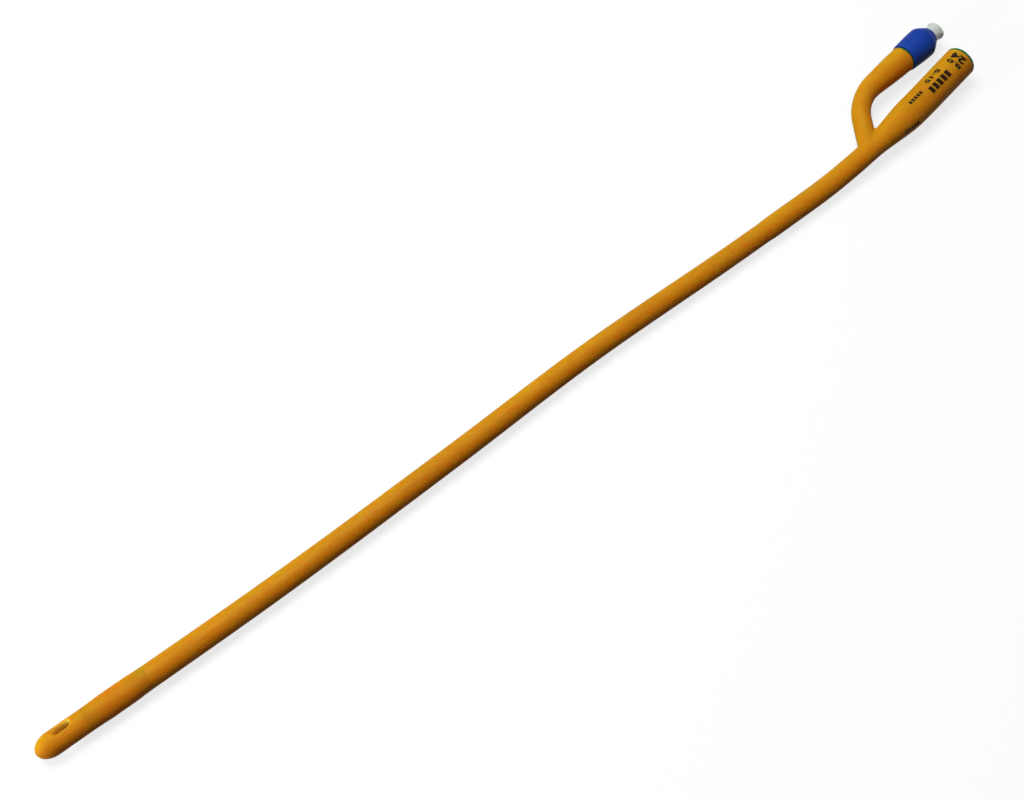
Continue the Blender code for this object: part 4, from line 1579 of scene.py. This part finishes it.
@dataclass
class FunnelPrint:
    """Plain size numbers and bars, printed in black on the funnel."""

    catheter: LatexCatheter
    marks: tuple[Mark, ...] = (
        Mark(4.2, 90.5, 3.2, Reading.ROUND, digits="24", width=6.4),
        Mark(7.5, 93.0, 1.8, Reading.ROUND, digits="8.0", width=6.6),
        Mark(18.3, 101.0, 3.0, Reading.ALONG, bars=5, width=12.0),
        Mark(17.8, 65.5, 1.9, Reading.ALONG, digits="5-15", width=8.8),
        Mark(30.8, 78.0, 1.5, Reading.ALONG, bars=5, width=7.5),
        Mark(39.7, 158.5, 1.3, Reading.ALONG, bars=5, width=7.5),
    )
    thickness: float = 0.03
    cell: float = 0.22
    curve_steps: int = 6
    boldness: float = 0.04
    digit_weld: float = 1e-5
    bar_share: float = 2 / 3
    bar_points: tuple[int, int] = (7, 15)

    def flat_digits(self, mark: Mark) -> tuple[Array, Array]:
        """Digits of the built-in font as a flat mesh, cut into small cells so that it can bend.

        Args:
            mark: The mark.

        Returns:
            Points across and up the mark about its middle, and triangles between them.
        """
        text = bpy.data.curves.new("digits", "FONT")
        text.body = mark.digits
        text.resolution_u = self.curve_steps
        text.offset = self.boldness
        holder = bpy.data.objects.new("digits", text)
        mesh = bpy.data.meshes.new_from_object(holder)
        outline = mesh_points(mesh)
        low, high = outline.min(axis=0), outline.max(axis=0)
        middle = Vector((low + high) / 2)
        scale = (mark.width / (high[0] - low[0]), mark.height / (high[1] - low[1]), 1.0, 1.0)
        centred = Matrix.Diagonal(scale) @ Matrix.Translation(-middle)
        shell = bmesh.new()
        shell.from_mesh(mesh)
        bmesh.ops.transform(shell, matrix=centred, verts=shell.verts)
        for heading, span in (((1.0, 0.0, 0.0), mark.width), ((0.0, 1.0, 0.0), mark.height)):
            square = Vector(heading)
            for place in np.arange(-span / 2, span / 2, self.cell)[1:]:
                everything = shell.verts[:] + shell.edges[:] + shell.faces[:]
                bmesh.ops.bisect_plane(shell, geom=everything, plane_co=square * place,
                                       plane_no=square)
        bmesh.ops.remove_doubles(shell, verts=shell.verts, dist=self.digit_weld)
        bmesh.ops.triangulate(shell, faces=shell.faces)
        shell.to_mesh(mesh)
        shell.free()
        points = mesh_points(mesh)[:, :2]
        triangles = np.empty(3 * len(mesh.polygons), int)
        mesh.polygons.foreach_get("vertices", triangles)
        bpy.data.objects.remove(holder)
        bpy.data.curves.remove(text)
        bpy.data.meshes.remove(mesh)
        return points, triangles.reshape(-1, 3)

    def flat_bars(self, mark: Mark) -> tuple[Array, Array]:
        """A row of equal upright bars, each a grid of cells, that take up a share of their spacing.

        Args:
            mark: The mark.

        Returns:
            Points across and up the mark about its middle, and four-sided faces between them.
        """
        pitch = mark.width / (mark.bars - 1 + self.bar_share)
        across = np.linspace(0.0, pitch * self.bar_share, self.bar_points[0])
        up = np.linspace(-0.5, 0.5, self.bar_points[1]) * mark.height
        x, y = np.meshgrid(across, up, indexing="ij")
        shift = np.arange(mark.bars)[:, None] * pitch - mark.width / 2
        rows = np.broadcast_to(y.ravel(), (mark.bars, y.size))
        points = np.stack([x.ravel() + shift, rows], axis=-1)
        cells = grid_faces(len(across), len(up), False, False)
        faces = cells[None] + np.arange(mark.bars)[:, None, None] * x.size
        return points.reshape(-1, 2), faces.reshape(-1, 4)

    def wrapped(self, mark: Mark, flat: Array) -> Array:
        """Bends flat points onto the funnel.

        A mark that reads round the funnel has its width turned into an angle, width over radius,
        and its height into a distance towards the tip. One that reads along has them the other
        way round, so that its tops face the right side.

        Args:
            mark: The mark.
            flat: Points across and up the mark.

        Returns:
            Points just above the funnel's skin.
        """
        shape = self.catheter
        across, up = flat[:, 0], flat[:, 1]
        place = shape.length - mark.from_mouth
        if mark.reading is Reading.ROUND:
            distance, arc = place - up, across
        else:
            distance, arc = place - across, -up
        radius = shape.radius(distance)
        turn = math.radians(mark.turn) - arc / shape.radius(np.array(place))
        point, side, upright = shape.route.square(distance)
        out = side * np.cos(turn)[:, None] + upright * np.sin(turn)[:, None]
        return point + out * (radius + self.thickness)[:, None]

    def build(self) -> Piece:
        """Bends every mark onto the funnel and gives the print its thickness.

        Returns:
            The finished piece.
        """
        points, faces, start = [], [], 0
        for mark in self.marks:
            flat, cells = self.flat_digits(mark) if mark.digits else self.flat_bars(mark)
            points.append(self.wrapped(mark, flat))
            faces += (cells + start).tolist()
            start += len(flat)
        mesh = bpy.data.meshes.new("funnel_print")
        mesh.from_pydata((np.concatenate(points) * MM).tolist(), [], faces)
        mesh.shade_smooth()
        piece = linked("funnel_print", mesh)
        thick = piece.modifiers.new("ink_layer", "SOLIDIFY")
        thick.thickness = 2 * self.thickness * MM
        thick.offset = 0.0
        return finished(piece, self.catheter.body, [], InkFinish())


# The studio


@dataclass(frozen=True)
class Softbox:
    """One large soft lamp that looks at the middle of the object."""

    name: str
    place: Triple
    width: float
    watts: float


@dataclass(frozen=True)
class Studio:
    """A pale floor, a white surround, soft lamps, and the camera of the photograph."""

    image_width: int = 1024
    focal_pixels: float = 1400.0
    sensor: float = 36.0
    camera_place: Triple = (-0.17113, -0.13278, 0.45420)
    view: Triple = (0.30562, 0.27657, -0.91110)
    nearest_seen: float = 0.01
    floor_reach: float = 4.0
    floor_roughness: float = 0.9
    floor_seen: Colour = (0.90, 0.90, 0.90)
    floor_real: Colour = (0.12, 0.12, 0.12)
    floor_white: float = 0.78
    surround: float = 0.08
    lamps: tuple[Softbox, ...] = (
        Softbox("key_softbox", (0.0, 0.45, 1.10), 0.6, 15.0),
        Softbox("tip_softbox", (-1.0, 0.30, 0.35), 0.15, 6.5),
    )

    def white_to_view(self, nodes: Nodes) -> Socket:
        """Light Path test that is 1 for what the camera sees, straight, mirrored or through glass.

        Args:
            nodes: The tree that it goes into.

        Returns:
            The test.
        """
        path = nodes.node("ShaderNodeLightPath").outputs
        either = nodes.sum_up("MAXIMUM", path["Is Camera Ray"], path["Is Glossy Ray"])
        return nodes.sum_up("MAXIMUM", either, path["Is Transmission Ray"])

    def build_world(self) -> None:
        """An even surround, white where it is seen."""
        world = bpy.data.worlds.new("surround")
        bpy.context.scene.world = world
        world.use_nodes = True
        nodes = Nodes(world.node_tree)
        inputs = {"Value": self.white_to_view(nodes), "To Min": self.surround, "To Max": 1.0}
        strength = nodes.node("ShaderNodeMapRange", inputs)
        light = nodes.tree.nodes["Background"].inputs
        nodes.put(light["Color"], (1.0, 1.0, 1.0, 1.0))
        nodes.put(light["Strength"], strength.outputs["Result"])

    def build_floor(self) -> None:
        """A plain pale floor under the object, mostly white to the camera but for the shadow."""
        low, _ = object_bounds()
        reach = self.floor_reach
        square = ((-reach, -reach), (reach, -reach), (reach, reach), (-reach, reach))
        mesh = bpy.data.meshes.new("studio_floor")
        mesh.from_pydata([(x, y, low.z) for x, y in square], [], [(0, 1, 2, 3)])
        floor = linked("studio_floor", mesh)
        material = bpy.data.materials.new("pale_floor")
        material.use_nodes = True
        nodes = Nodes(material.node_tree)
        paint = nodes.tree.nodes["Principled BSDF"]
        seen = self.white_to_view(nodes)
        nodes.put(paint.inputs["Roughness"], self.floor_roughness)
        nodes.put(paint.inputs["Base Color"], nodes.blend(seen, self.floor_real, self.floor_seen))
        glow = nodes.node("ShaderNodeEmission", {"Strength": 1.0})
        share = nodes.sum_up("MULTIPLY", seen, self.floor_white)
        mix = nodes.node("ShaderNodeMixShader", {0: share, 1: paint.outputs[0], 2: glow.outputs[0]})
        nodes.put(nodes.tree.nodes["Material Output"].inputs["Surface"], mix.outputs[0])
        floor.data.materials.append(material)
        floor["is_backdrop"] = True

    def build_lamps(self) -> None:
        """Square area lamps that face the object."""
        for box in self.lamps:
            lamp = bpy.data.lights.new(box.name, "AREA")
            lamp.shape = "SQUARE"
            lamp.size = box.width
            lamp.energy = box.watts
            holder = linked(box.name, lamp)
            holder.location = box.place
            holder.rotation_euler = (-Vector(box.place)).to_track_quat("-Z", "Y").to_euler()

    def build_camera(self) -> None:
        """The camera: its lens is the focal length over the image's width, times the sensor."""
        camera = bpy.data.cameras.new("camera")
        camera.sensor_width = self.sensor
        camera.lens = self.focal_pixels / self.image_width * self.sensor
        camera.clip_start = self.nearest_seen
        holder = linked("camera", camera)
        ahead = Vector(self.view).normalized()
        right = ahead.cross(Vector((0.0, 0.0, 1.0))).normalized()
        turned = Matrix((right, right.cross(ahead), -ahead)).transposed().to_4x4()
        holder.matrix_world = Matrix.Translation(self.camera_place) @ turned
        bpy.context.scene.camera = holder

    def build(self) -> None:
        """Builds the studio round the finished object."""
        bpy.context.scene.view_settings.view_transform = "Standard"
        self.build_world()
        self.build_floor()
        self.build_lamps()
        self.build_camera()


def report(piece: Piece) -> None:
    """Logs a piece's name and how many faces it has."""
    LOG.info("%s: %d faces", piece.name, len(piece.data.polygons))


def main() -> None:
    """Builds the object's classes in order, then the studio."""
    catheter = LatexCatheter()
    report(catheter.build())
    report(BalloonSkin(catheter).build())
    for piece in InflationValve(catheter).build():
        report(piece)
    report(FunnelPrint(catheter).build())
    Studio().build()


if __name__ == "__main__":
    logging.basicConfig(level=logging.INFO, format="%(name)s: %(message)s")
    main()
